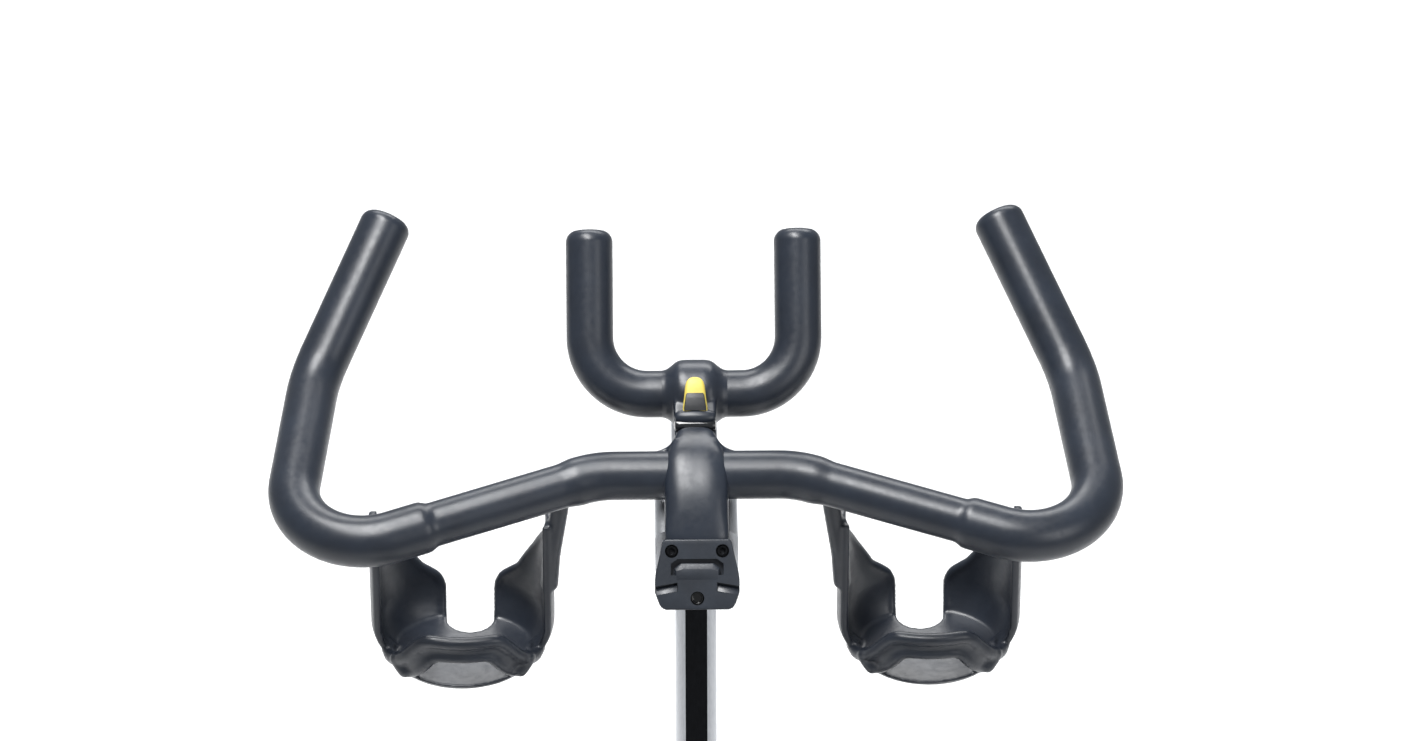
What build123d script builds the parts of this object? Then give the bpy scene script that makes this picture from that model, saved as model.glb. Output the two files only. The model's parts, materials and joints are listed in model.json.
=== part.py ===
from build123d import *

import math
import os

# Indoor spin bike, in millimetres. The rider faces +Y, +X is the rider's right and +Z is up.
# The origin is on the floor, under the middle of the bike. Each sub-part is written to parts/NAME.step.

os.makedirs("parts", exist_ok=True)

# ---- driving dimensions ------------------------------------------------------------------------------
# Handlebar: the middle of the main bar, and the carriage that slides on top of the post.
BAR_Y = 335
BAR_Z = 1075
BAR_RADIUS = 14.3
GRIP_RADIUS = 16.7
AERO_RADIUS = 15.2
AERO_RISE = 50
SLIDE_LENGTH = 130
DOCK_TILT = 35
DOCK_THICKNESS = 13
HOLDER_X = 150

# Posts are flat extrusions that slide in lined rectangular tubes.
POST_WIDTH = 26.5
POST_DEPTH = 64
POST_CORNER = 5
POST_WALL = 3
SLIDE_GAP = 0.5
TUBE_WIDTH = 46
TUBE_DEPTH = 84
TUBE_CORNER = 10
WALL = 3
HEAD_LEAN = 12
SEAT_LEAN = 12

# Drive.
WHEEL_Y = 405
WHEEL_Z = 345
WHEEL_RADIUS = 210
CRANK_Y = -20
CRANK_Z = 350
CRANK_LENGTH = 170
CRANK_ANGLE = -20
CRANK_PULLEY_RADIUS = 112
WHEEL_PULLEY_RADIUS = 28
BELT_THICKNESS = 4
BELT_GAP = 0.35
BELT_LOW_X = 47
BELT_HIGH_X = 61
AXLE_RADIUS = 8.5
CRANK_AXLE_RADIUS = 12.5
LEG_LOW_X = 22
LEG_HIGH_X = 40

# Base.
FOOT_HEIGHT = 28
STABILISER_HEIGHT = 44
STABILISER_DEPTH = 60
STABILISER_LENGTH = 500
REAR_STABILISER_Y = -610
FRONT_STABILISER_Y = 553
BEAM_WIDTH = 44
BEAM_HEIGHT = 60
BEAM_TOP = 104

# A shaft in its bearing, and pieces of two bodies side by side.
RUNNING = 0.05
CLEAR = 0.5


# ---- helpers -----------------------------------------------------------------------------------------
def save(part, name):
    """Labels a finished piece and writes it."""
    part.label = name
    export_step(part, f"parts/{name}.step")


def save_group(solids, name):
    """Writes several separate solids as one node."""
    save(Compound(children=list(solids)), name)


def save_pair(part, name):
    """Writes a right-hand piece and its mirror image."""
    save(mirror(part, about=Plane.YZ), f"{name}_left")
    save(part, f"{name}_right")


def along(y, z, lean, distance):
    """The point `distance` up an axis that passes through (y, z) and leans towards +Y."""
    angle = math.radians(lean)
    return (y + distance * math.sin(angle), z + distance * math.cos(angle))


def cross_plane(point, lean):
    """A plane across an axis in the bike's middle that leans towards +Y."""
    angle = math.radians(lean)
    return Plane(origin=(0, *point), x_dir=(1, 0, 0), z_dir=(0, math.sin(angle), math.cos(angle)))


def side_plane(point, lean, x):
    """A plane seen from the right: local Y runs up a leaning axis, local X across it towards +Y."""
    angle = math.radians(lean)
    return Plane(origin=(x, *point), x_dir=(0, math.cos(angle), -math.sin(angle)), z_dir=(1, 0, 0))


def tube(plane, length, width, depth, corner, wall):
    """A rectangular tube with rounded corners."""
    with BuildPart() as made:
        with BuildSketch(plane):
            RectangleRounded(width, depth, corner)
            RectangleRounded(width - 2 * wall, depth - 2 * wall, max(corner - wall, 1), mode=Mode.SUBTRACT)
        extrude(amount=length)
    return made.part


def bar(plane, length, width, depth, corner):
    """The same outline as a tube, filled."""
    with BuildPart() as made:
        with BuildSketch(plane):
            RectangleRounded(width, depth, corner)
        extrude(amount=length)
    return made.part


def rod_x(point, radius, low_x, high_x):
    """A round bar across the bike."""
    with BuildPart() as made:
        with BuildSketch(Plane.YZ.offset(low_x)):
            with Locations(point):
                Circle(radius)
        extrude(amount=high_x - low_x)
    return made.part


def ring_x(point, outer, inner, low_x, high_x):
    """A round ring across the bike."""
    with BuildPart() as made:
        with BuildSketch(Plane.YZ.offset(low_x)):
            with Locations(point):
                Circle(outer)
                Circle(inner, mode=Mode.SUBTRACT)
        extrude(amount=high_x - low_x)
    return made.part


def plate_x(points, low_x, high_x, radius=0):
    """A flat plate across the bike from its side outline."""
    with BuildPart() as made:
        with BuildSketch(Plane.YZ.offset(low_x)):
            with BuildLine():
                if radius:
                    FilletPolyline(*points, radius=radius, close=True)
                else:
                    Polyline(*points, close=True)
            make_face()
        extrude(amount=high_x - low_x)
    return made.part


def drive_outline(low_x, depth, crank_radius, wheel_radius):
    """A solid whose outline wraps both pulleys."""
    with BuildPart() as made:
        with BuildSketch(Plane.YZ.offset(low_x)):
            with Locations((CRANK_Y, CRANK_Z)):
                Circle(crank_radius)
            with Locations((WHEEL_Y, WHEEL_Z)):
                Circle(wheel_radius)
            make_hull()
        extrude(amount=depth)
    return made.part


def cut(part, *cutters):
    """The piece without what the cutters hold."""
    with BuildPart() as made:
        add(part)
        for cutter in cutters:
            add(cutter, mode=Mode.SUBTRACT)
    return made.part


def joined(*pieces):
    """Pieces welded into one."""
    with BuildPart() as made:
        for piece in pieces:
            add(piece)
    return made.part


def swept(points, radii, outer, inner=0):
    """A round bar or tube along straight runs joined by arcs."""
    with BuildPart() as made:
        with BuildLine() as route:
            FilletPolyline(*points, radius=radii)
        start = Plane(origin=route.line @ 0, z_dir=route.line % 0)
        with BuildSketch(start):
            Circle(outer)
            if inner:
                Circle(inner, mode=Mode.SUBTRACT)
        sweep(path=route.line)
    return made.part


def on_bar(x, y, z):
    """A point given from the middle of the main bar."""
    return (x, BAR_Y + y, BAR_Z + z)


# ---- shared axes -------------------------------------------------------------------------------------
crank_axis = (CRANK_Y, CRANK_Z)
wheel_axis = (WHEEL_Y, WHEEL_Z)

SLIDE_TOP = BAR_Z - 26
SLIDE_BOTTOM = BAR_Z - 48
POST_LENGTH = 395
HEAD_DROP = 245
HEAD_LENGTH = 190
post_top = (BAR_Y + 40, SLIDE_BOTTOM)
head_top = along(*post_top, HEAD_LEAN, -HEAD_DROP)
head_bottom = along(*head_top, HEAD_LEAN, -HEAD_LENGTH)

SEAT_LENGTH = 610
SEAT_POST_LENGTH = 430
SEAT_POST_OUT = 170
seat_foot = (-20, BEAM_TOP)
seat_top = along(*seat_foot, -SEAT_LEAN, SEAT_LENGTH)
seat_post_top = along(*seat_top, -SEAT_LEAN, SEAT_POST_OUT)

# The down tube runs from the crank axis to a point on the head tube.
down_target = along(*head_bottom, HEAD_LEAN, 60)
DOWN_LENGTH = math.dist(crank_axis, down_target)
DOWN_LEAN = math.degrees(math.atan2(down_target[0] - CRANK_Y, down_target[1] - CRANK_Z))
DOWN_WIDTH = 44
DOWN_DEPTH = 70

# The fork legs run from under the crown through the wheel axle to the front stabiliser.
CROWN_THICKNESS = 16
crown_low = along(*head_bottom, HEAD_LEAN, -CROWN_THICKNESS)
LEG_LEAN = -math.degrees(math.atan2(WHEEL_Y - crown_low[0], crown_low[1] - WHEEL_Z))
LEG_DEPTH = 50


# ---- base --------------------------------------------------------------------------------------------
FOOT_X = 215
STEM_RADIUS = 5
STABILISER_Z = FOOT_HEIGHT + STABILISER_HEIGHT / 2
STABILISER_CORNER = 14
WHEEL_BRACKET_X = 150
TRANSPORT_RADIUS = 27
TRANSPORT_Y = FRONT_STABILISER_Y + STABILISER_DEPTH / 2 + TRANSPORT_RADIUS + 3
TRANSPORT_Z = 40
TRANSPORT_PIN = 5


def stabiliser_bar(y):
    """The filled outline of a cross tube."""
    start = Plane(origin=(-STABILISER_LENGTH / 2, y, STABILISER_Z), x_dir=(0, 1, 0), z_dir=(1, 0, 0))
    return bar(start, STABILISER_LENGTH, STABILISER_DEPTH, STABILISER_HEIGHT, STABILISER_CORNER)


def stabiliser(y):
    """A cross tube with a hole near each end for its levelling foot."""
    start = Plane(origin=(-STABILISER_LENGTH / 2, y, STABILISER_Z), x_dir=(0, 1, 0), z_dir=(1, 0, 0))
    with BuildPart() as made:
        add(tube(start, STABILISER_LENGTH, STABILISER_DEPTH, STABILISER_HEIGHT, STABILISER_CORNER, WALL))
        with BuildSketch(Plane.XY.offset(FOOT_HEIGHT - 1)):
            with Locations((-FOOT_X, y), (FOOT_X, y)):
                Circle(STEM_RADIUS + 0.3)
        extrude(amount=WALL + 2, mode=Mode.SUBTRACT)
    return made.part


def wheel_bracket(x):
    """Two ears and a pin in front of the stabiliser that carry one transport wheel."""
    face_y = FRONT_STABILISER_Y + STABILISER_DEPTH / 2
    ear = [
        (face_y - 1.5, STABILISER_Z + 8),
        (TRANSPORT_Y + 9, TRANSPORT_Z + 9),
        (TRANSPORT_Y + 9, TRANSPORT_Z - 9),
        (face_y - 1.5, STABILISER_Z - 8),
    ]
    with BuildPart() as made:
        add(plate_x(ear, x - 17, x - 12))
        add(plate_x(ear, x + 12, x + 17))
        add(rod_x((TRANSPORT_Y, TRANSPORT_Z), TRANSPORT_PIN, x - 17, x + 17))
    return made.part


def transport_wheel(x):
    """A roller with worn corners on the bracket's pin."""
    with BuildPart() as made:
        add(ring_x((TRANSPORT_Y, TRANSPORT_Z), TRANSPORT_RADIUS, TRANSPORT_PIN + RUNNING, x - 11, x + 11))
        rims = made.edges().filter_by(GeomType.CIRCLE).group_by(SortBy.RADIUS)[-1]
        fillet(rims, 4)
    return made.part


def levelling_foot(x, y):
    """A threaded stem on a round pad."""
    with BuildPart() as made:
        with BuildSketch(Plane(origin=(x, y, 0), x_dir=(1, 0, 0), z_dir=(0, -1, 0))):
            with BuildLine():
                Polyline(
                    (0, 0),
                    (22, 0),
                    (24, 3),
                    (23, 9),
                    (11, 13),
                    (11, 23),
                    (STEM_RADIUS, 24),
                    (STEM_RADIUS, 62),
                    (0, 62),
                    close=True,
                )
            make_face()
        revolve(axis=Axis((x, y, 0), (0, 0, 1)))
    return made.part


def end_plug(plane, width, depth, corner, depth_out):
    """A domed plug on the end of a tube."""
    with BuildPart() as made:
        with BuildSketch(plane):
            RectangleRounded(width, depth, corner)
        extrude(amount=depth_out)
        outer = made.faces().sort_by(Axis(plane.origin, plane.z_dir))[-1]
        fillet(outer.edges(), 5)
    return made.part


save(stabiliser(REAR_STABILISER_Y), "rear_stabiliser")
save(
    joined(
        stabiliser(FRONT_STABILISER_Y),
        wheel_bracket(-WHEEL_BRACKET_X),
        wheel_bracket(WHEEL_BRACKET_X),
    ),
    "front_stabiliser",
)
for side, side_name in ((-1, "left"), (1, "right")):
    save(transport_wheel(side * WHEEL_BRACKET_X), f"transport_wheel_{side_name}")
    save(levelling_foot(side * FOOT_X, REAR_STABILISER_Y), f"levelling_foot_rear_{side_name}")
    save(levelling_foot(side * FOOT_X, FRONT_STABILISER_Y), f"levelling_foot_front_{side_name}")

# The beam lies over both stabilisers, notched around them.
beam_rear = REAR_STABILISER_Y - STABILISER_DEPTH / 2 + 8
beam_front = FRONT_STABILISER_Y + STABILISER_DEPTH / 2
beam_middle_z = BEAM_TOP - BEAM_HEIGHT / 2
beam_plane = Plane(origin=(0, beam_rear, beam_middle_z), x_dir=(1, 0, 0), z_dir=(0, 1, 0))
base_beam = cut(
    tube(beam_plane, beam_front - beam_rear, BEAM_WIDTH, BEAM_HEIGHT, 8, WALL),
    stabiliser_bar(REAR_STABILISER_Y),
    stabiliser_bar(FRONT_STABILISER_Y),
)
save(base_beam, "base_beam")

PLUG_OUT = 8
plugs = []
for end_y in (REAR_STABILISER_Y, FRONT_STABILISER_Y):
    for side in (-1, 1):
        plug_plane = Plane(
            origin=(side * STABILISER_LENGTH / 2, end_y, STABILISER_Z), x_dir=(0, 1, 0), z_dir=(side, 0, 0)
        )
        plugs.append(end_plug(plug_plane, STABILISER_DEPTH, STABILISER_HEIGHT, STABILISER_CORNER, PLUG_OUT))

upper_height = BEAM_TOP - (FOOT_HEIGHT + STABILISER_HEIGHT) - 0.5
for end_y, facing in ((beam_rear, -1), (beam_front, 1)):
    plug_plane = Plane(
        origin=(0, end_y, BEAM_TOP - upper_height / 2), x_dir=(1, 0, 0), z_dir=(0, facing, 0)
    )
    plugs.append(end_plug(plug_plane, BEAM_WIDTH, upper_height, 8, PLUG_OUT))
save_group(plugs, "tube_end_caps")


# ---- frame -------------------------------------------------------------------------------------------
SHELL_RADIUS = 30
SHELL_HALF_WIDTH = 34
BEARING_RADIUS = 21

seat_start = along(*seat_foot, -SEAT_LEAN, -20)
seat_bar = bar(cross_plane(seat_start, -SEAT_LEAN), SEAT_LENGTH + 20, TUBE_WIDTH, TUBE_DEPTH, TUBE_CORNER)
head_bar = bar(cross_plane(head_bottom, HEAD_LEAN), HEAD_LENGTH, TUBE_WIDTH, TUBE_DEPTH, TUBE_CORNER)
shell_bar = rod_x(crank_axis, SHELL_RADIUS, -SHELL_HALF_WIDTH, SHELL_HALF_WIDTH)
below_beam = bar(Plane(origin=(0, -20, BEAM_TOP - 60)), 60, 200, 300, 1)

seat_outer = cut(
    tube(cross_plane(seat_start, -SEAT_LEAN), SEAT_LENGTH + 20, TUBE_WIDTH, TUBE_DEPTH, TUBE_CORNER, WALL),
    below_beam,
    shell_bar,
)
crank_shell = ring_x(crank_axis, SHELL_RADIUS, BEARING_RADIUS, -SHELL_HALF_WIDTH, SHELL_HALF_WIDTH)
save(joined(seat_outer, crank_shell), "seat_tube")
save(
    tube(cross_plane(head_bottom, HEAD_LEAN), HEAD_LENGTH, TUBE_WIDTH, TUBE_DEPTH, TUBE_CORNER, WALL),
    "head_tube",
)

# The brake rod crosses the down tube square to it, towards the wheel axle.
BUSH_RADIUS = 8
down_angle = math.radians(DOWN_LEAN)
down_direction = (math.sin(down_angle), math.cos(down_angle))
wheel_offset = (WHEEL_Y - CRANK_Y, WHEEL_Z - CRANK_Z)
brake_station = wheel_offset[0] * down_direction[0] + wheel_offset[1] * down_direction[1]
BRAKE_LEAN = DOWN_LEAN - 90
rim_point = along(*wheel_axis, BRAKE_LEAN, WHEEL_RADIUS)
tube_line_height = math.dist(wheel_axis, along(*crank_axis, DOWN_LEAN, brake_station)) - WHEEL_RADIUS
tube_low_height = tube_line_height - DOWN_DEPTH / 2
tube_high_height = tube_line_height + DOWN_DEPTH / 2


def brake_plane(height):
    """A plane across the brake rod, `height` above the wheel's rim."""
    return cross_plane(along(*rim_point, BRAKE_LEAN, height), BRAKE_LEAN)


def brake_cylinder(low, high, radius):
    """A round bar on the brake rod's axis."""
    with BuildPart() as made:
        with BuildSketch(brake_plane(low)):
            Circle(radius)
        extrude(amount=high - low)
    return made.part


def brake_ring(low, high, outer, inner):
    """A ring on the brake rod's axis."""
    with BuildPart() as made:
        with BuildSketch(brake_plane(low)):
            Circle(outer)
            Circle(inner, mode=Mode.SUBTRACT)
        extrude(amount=high - low)
    return made.part


# Fork.
AXLE_BEARING_RADIUS = 16
leg_length = math.dist(crown_low, wheel_axis) + 330
with BuildPart() as fork_crown:
    with BuildSketch(cross_plane(crown_low, HEAD_LEAN)):
        RectangleRounded(2 * LEG_HIGH_X, TUBE_DEPTH + 8, 12)
    extrude(amount=CROWN_THICKNESS)
save(fork_crown.part, "fork_crown")
save(
    cut(
        tube(cross_plane(crank_axis, DOWN_LEAN), DOWN_LENGTH, DOWN_WIDTH, DOWN_DEPTH, TUBE_CORNER, WALL),
        shell_bar,
        seat_bar,
        head_bar,
        fork_crown.part,
        brake_cylinder(tube_low_height - 5, tube_high_height + 5, BUSH_RADIUS),
    ),
    "down_tube",
)

leg_middle = (LEG_LOW_X + LEG_HIGH_X) / 2
leg_top = along(*crown_low, LEG_LEAN, 40)
leg_plane = cross_plane(leg_top, LEG_LEAN)
leg_start = leg_plane.origin + Vector(leg_middle, 0, 0)
leg_plane = Plane(origin=leg_start, x_dir=(1, 0, 0), z_dir=-leg_plane.z_dir)
above_crown = bar(cross_plane(crown_low, HEAD_LEAN), 120, 200, 260, 1)
below_leg = bar(Plane(origin=(0, FRONT_STABILISER_Y, 0)), FOOT_HEIGHT + STABILISER_HEIGHT - 12, 200, 200, 1)
fork_leg = cut(
    joined(
        tube(leg_plane, leg_length + 40, LEG_HIGH_X - LEG_LOW_X, LEG_DEPTH, 6, WALL),
        rod_x(wheel_axis, LEG_DEPTH / 2 + 3, LEG_LOW_X, LEG_HIGH_X),
    ),
    above_crown,
    below_leg,
    stabiliser_bar(FRONT_STABILISER_Y),
    rod_x(wheel_axis, AXLE_BEARING_RADIUS, LEG_LOW_X - 1, LEG_HIGH_X + 1),
)
save_pair(fork_leg, "fork_leg")
save_group(
    [
        ring_x(crank_axis, BEARING_RADIUS, CRANK_AXLE_RADIUS + RUNNING, -SHELL_HALF_WIDTH, -22),
        ring_x(crank_axis, BEARING_RADIUS, CRANK_AXLE_RADIUS + RUNNING, 22, SHELL_HALF_WIDTH),
        ring_x(wheel_axis, AXLE_BEARING_RADIUS, AXLE_RADIUS + RUNNING, -LEG_HIGH_X, -LEG_LOW_X),
        ring_x(wheel_axis, AXLE_BEARING_RADIUS, AXLE_RADIUS + RUNNING, LEG_LOW_X, LEG_HIGH_X),
    ],
    "bearings",
)


# ---- flywheel and its axle ---------------------------------------------------------------------------
RIM_HALF_WIDTH = 12
RIM_INNER_RADIUS = 172
HUB_RADIUS = 32
HUB_HALF_WIDTH = 19

with BuildPart() as flywheel:
    with BuildSketch(Plane.XY.offset(WHEEL_Z)):
        with BuildLine():
            Polyline(
                (-HUB_HALF_WIDTH, WHEEL_Y + AXLE_RADIUS),
                (HUB_HALF_WIDTH, WHEEL_Y + AXLE_RADIUS),
                (HUB_HALF_WIDTH, WHEEL_Y + HUB_RADIUS),
                (4, WHEEL_Y + HUB_RADIUS + 12),
                (4, WHEEL_Y + RIM_INNER_RADIUS - 8),
                (RIM_HALF_WIDTH, WHEEL_Y + RIM_INNER_RADIUS),
                (RIM_HALF_WIDTH, WHEEL_Y + WHEEL_RADIUS - 2),
                (RIM_HALF_WIDTH - 2, WHEEL_Y + WHEEL_RADIUS),
                (-RIM_HALF_WIDTH + 2, WHEEL_Y + WHEEL_RADIUS),
                (-RIM_HALF_WIDTH, WHEEL_Y + WHEEL_RADIUS - 2),
                (-RIM_HALF_WIDTH, WHEEL_Y + RIM_INNER_RADIUS),
                (-4, WHEEL_Y + RIM_INNER_RADIUS - 8),
                (-4, WHEEL_Y + HUB_RADIUS + 12),
                (-HUB_HALF_WIDTH, WHEEL_Y + HUB_RADIUS),
                close=True,
            )
        make_face()
    revolve(axis=Axis((0, WHEEL_Y, WHEEL_Z), (1, 0, 0)))
save(flywheel.part, "flywheel")

axle_high_x = BELT_HIGH_X + 2
save(rod_x(wheel_axis, AXLE_RADIUS, -LEG_HIGH_X - 2, axle_high_x), "flywheel_axle")
save(
    ring_x(wheel_axis, WHEEL_PULLEY_RADIUS, AXLE_RADIUS, BELT_LOW_X - 1, BELT_HIGH_X + 1),
    "flywheel_pulley",
)


# ---- crank set ---------------------------------------------------------------------------------------
ARM_LOW_X = 74
ARM_HIGH_X = 90
ARM_HUB_RADIUS = 20
ARM_TIP_RADIUS = 15
SPINDLE_RADIUS = 7
PEDAL_LOW_X = ARM_HIGH_X + 4
PEDAL_WIDTH = 94
PEDAL_LENGTH = 96
PEDAL_HALF_HEIGHT = 11

crank_angle = math.radians(CRANK_ANGLE)
reach = (CRANK_LENGTH * math.cos(crank_angle), CRANK_LENGTH * math.sin(crank_angle))
pedal_axes = {
    1: (CRANK_Y + reach[0], CRANK_Z + reach[1]),
    -1: (CRANK_Y - reach[0], CRANK_Z - reach[1]),
}


def crank_arm(side):
    """A forged arm that narrows towards the pedal."""
    tip = pedal_axes[side]
    low_x = ARM_LOW_X if side > 0 else -ARM_HIGH_X
    with BuildPart() as made:
        with BuildSketch(Plane.YZ.offset(low_x)):
            with Locations(crank_axis):
                Circle(ARM_HUB_RADIUS)
            with Locations(tip):
                Circle(ARM_TIP_RADIUS)
            make_hull()
            with Locations(crank_axis):
                Circle(CRANK_AXLE_RADIUS, mode=Mode.SUBTRACT)
            with Locations(tip):
                Circle(SPINDLE_RADIUS, mode=Mode.SUBTRACT)
        extrude(amount=ARM_HIGH_X - ARM_LOW_X)
        outer = made.faces().sort_by(Axis.X)[-1 if side > 0 else 0]
        chamfer(outer.outer_wire().edges(), 3)
    return made.part


def pedal(side):
    """A platform with a round barrel, two cross bars and an open frame."""
    y, z = pedal_axes[side]
    low_x = PEDAL_LOW_X if side > 0 else -PEDAL_LOW_X - PEDAL_WIDTH
    middle_x = low_x + PEDAL_WIDTH / 2
    with BuildPart() as made:
        with BuildSketch(Plane.XY.offset(z - PEDAL_HALF_HEIGHT)):
            with Locations((middle_x, y)):
                RectangleRounded(PEDAL_WIDTH, PEDAL_LENGTH, 16)
            with Locations((middle_x, y - 29), (middle_x, y + 29)):
                RectangleRounded(PEDAL_WIDTH - 28, 22, 6, mode=Mode.SUBTRACT)
        extrude(amount=2 * PEDAL_HALF_HEIGHT)
        with BuildSketch(Plane.YZ.offset(low_x)):
            with Locations((y, z)):
                Circle(SPINDLE_RADIUS + RUNNING)
        extrude(amount=PEDAL_WIDTH, mode=Mode.SUBTRACT)
    return made.part


def toe_cage(side):
    """A bent plate from the front of the pedal up and back over the shoe."""
    y, z = pedal_axes[side]
    low_x = PEDAL_LOW_X if side > 0 else -PEDAL_LOW_X - PEDAL_WIDTH
    front = y + PEDAL_LENGTH / 2
    top = z + PEDAL_HALF_HEIGHT
    inner = [
        (front, z - 8),
        (front, top - 3),
        (front + 42, top + 14),
        (front + 46, top + 40),
        (front + 12, top + 66),
        (front - 34, top + 72),
    ]
    outer = [
        (front - 34, top + 76),
        (front + 13, top + 70),
        (front + 50, top + 42),
        (front + 46, top + 11),
        (front + 4, top - 7),
        (front + 4, z - 8),
    ]
    with BuildPart() as made:
        with BuildSketch(Plane.YZ.offset(low_x + 12)):
            with BuildLine():
                Polyline(*inner, *outer, close=True)
            make_face()
        extrude(amount=PEDAL_WIDTH - 24)
        with BuildSketch(Plane.XZ.offset(-front - 60)):
            with Locations((low_x + PEDAL_WIDTH / 2, top + 33)):
                RectangleRounded(PEDAL_WIDTH - 52, 50, 12)
        extrude(amount=100, mode=Mode.SUBTRACT)
    return made.part


save(rod_x(crank_axis, CRANK_AXLE_RADIUS, -ARM_HIGH_X, ARM_HIGH_X), "crank_axle")
save(
    ring_x(crank_axis, CRANK_PULLEY_RADIUS, CRANK_AXLE_RADIUS, BELT_LOW_X - 1, BELT_HIGH_X + 1),
    "crank_pulley",
)
spindles = []
for side, side_name in ((-1, "left"), (1, "right")):
    save(crank_arm(side), f"crank_arm_{side_name}")
    save(pedal(side), f"pedal_{side_name}")
    save(toe_cage(side), f"toe_cage_{side_name}")
    spindle_low_x = ARM_LOW_X if side > 0 else -PEDAL_LOW_X - PEDAL_WIDTH + 4
    spindle_length = PEDAL_LOW_X + PEDAL_WIDTH - 4 - ARM_LOW_X
    spindles.append(
        rod_x(pedal_axes[side], SPINDLE_RADIUS, spindle_low_x, spindle_low_x + spindle_length)
    )
save_group(spindles, "pedal_spindles")

belt_inner = (CRANK_PULLEY_RADIUS + BELT_GAP, WHEEL_PULLEY_RADIUS + BELT_GAP)
belt_width = BELT_HIGH_X - BELT_LOW_X
save(
    cut(
        drive_outline(
            BELT_LOW_X, belt_width, belt_inner[0] + BELT_THICKNESS, belt_inner[1] + BELT_THICKNESS
        ),
        drive_outline(BELT_LOW_X, belt_width, *belt_inner),
    ),
    "drive_belt",
)

# The belt runs between two shells.
CASE_LOW_X = LEG_HIGH_X + 1
CASE_SPLIT_X = 54
CASE_HIGH_X = 69
CASE_WALL = 2.5
CASE_CRANK_RADIUS = 126
CASE_WHEEL_RADIUS = 42


def case_shell(low_x, high_x, wall_x, open_radius):
    """A tray that wraps the belt, with a round opening for the crank axle."""
    with BuildPart() as made:
        add(drive_outline(low_x, high_x - low_x, CASE_CRANK_RADIUS, CASE_WHEEL_RADIUS))
        inner = drive_outline(
            wall_x, high_x - low_x, CASE_CRANK_RADIUS - CASE_WALL, CASE_WHEEL_RADIUS - CASE_WALL
        )
        add(inner, mode=Mode.SUBTRACT)
        add(rod_x(crank_axis, open_radius, low_x - 30, high_x + 30), mode=Mode.SUBTRACT)
    return made.part


inner_shell = case_shell(CASE_LOW_X, CASE_SPLIT_X, CASE_LOW_X + CASE_WALL, SHELL_RADIUS)
inner_shell = cut(inner_shell, rod_x(wheel_axis, AXLE_RADIUS + 1, CASE_LOW_X - 1, CASE_LOW_X + 5))
save(inner_shell, "belt_case_inner")
with BuildPart() as belt_case_outer:
    add(drive_outline(CASE_SPLIT_X, CASE_HIGH_X - CASE_SPLIT_X, CASE_CRANK_RADIUS, CASE_WHEEL_RADIUS))
    face_edges = belt_case_outer.faces().sort_by(Axis.X)[-1].edges()
    fillet(face_edges, 6)
    add(
        drive_outline(
            CASE_SPLIT_X,
            CASE_HIGH_X - CASE_SPLIT_X - CASE_WALL,
            CASE_CRANK_RADIUS - CASE_WALL - 4,
            CASE_WHEEL_RADIUS - CASE_WALL - 4,
        ),
        mode=Mode.SUBTRACT,
    )
    add(rod_x(crank_axis, SHELL_RADIUS, CASE_SPLIT_X - 1, CASE_HIGH_X + 1), mode=Mode.SUBTRACT)
save(belt_case_outer.part, "belt_case_outer")


# ---- brake -------------------------------------------------------------------------------------------
ROD_RADIUS = 5
PAD_HEIGHT = 6.5
PAD_THICKNESS = 7
CALIPER_LOW = 27
CALIPER_THICKNESS = 7
CALIPER_HALF_WIDTH = 20
PLATE_THICKNESS = 3.5
PLATE_REACH = 14
MAGNET_THICKNESS = 3.5
CALIPER_LENGTH = 56
PIN_STATION = 20
PIN_RADIUS = 3
KNOB_LOW = tube_high_height + 16
KNOB_HEIGHT = 44

with BuildPart() as brake_pad:
    with BuildSketch(brake_plane(PAD_HEIGHT)):
        RectangleRounded(22, 30, 3)
    extrude(amount=PAD_THICKNESS)
rod_low = PAD_HEIGHT + PAD_THICKNESS
rod_high = KNOB_LOW + KNOB_HEIGHT - 8
save(joined(brake_pad.part, brake_cylinder(rod_low, rod_high, ROD_RADIUS)), "brake_rod")

with BuildPart() as magnet_caliper:
    with BuildSketch(brake_plane(CALIPER_LOW)):
        RectangleRounded(2 * CALIPER_HALF_WIDTH, CALIPER_LENGTH, 3)
        Circle(ROD_RADIUS + CLEAR, mode=Mode.SUBTRACT)
        with Locations((0, -PIN_STATION), (0, PIN_STATION)):
            Circle(PIN_RADIUS + RUNNING, mode=Mode.SUBTRACT)
    extrude(amount=CALIPER_THICKNESS)
    with BuildSketch(brake_plane(CALIPER_LOW)):
        plate_x_middle = CALIPER_HALF_WIDTH - PLATE_THICKNESS / 2
        with Locations((-plate_x_middle, 0), (plate_x_middle, 0)):
            Rectangle(PLATE_THICKNESS, CALIPER_LENGTH - 6)
    extrude(amount=-(CALIPER_LOW + PLATE_REACH))
save(magnet_caliper.part, "magnet_caliper")

magnets = []
magnet_middle_x = CALIPER_HALF_WIDTH - PLATE_THICKNESS - MAGNET_THICKNESS / 2
for magnet_x in (-magnet_middle_x, magnet_middle_x):
    for station in (-12.5, 12.5):
        with BuildPart() as magnet:
            with BuildSketch(brake_plane(-PLATE_REACH + 1)):
                with Locations((magnet_x, station)):
                    Rectangle(MAGNET_THICKNESS, 22)
            extrude(amount=16)
        magnets.append(magnet.part)
save_group(magnets, "brake_magnets")

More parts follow.
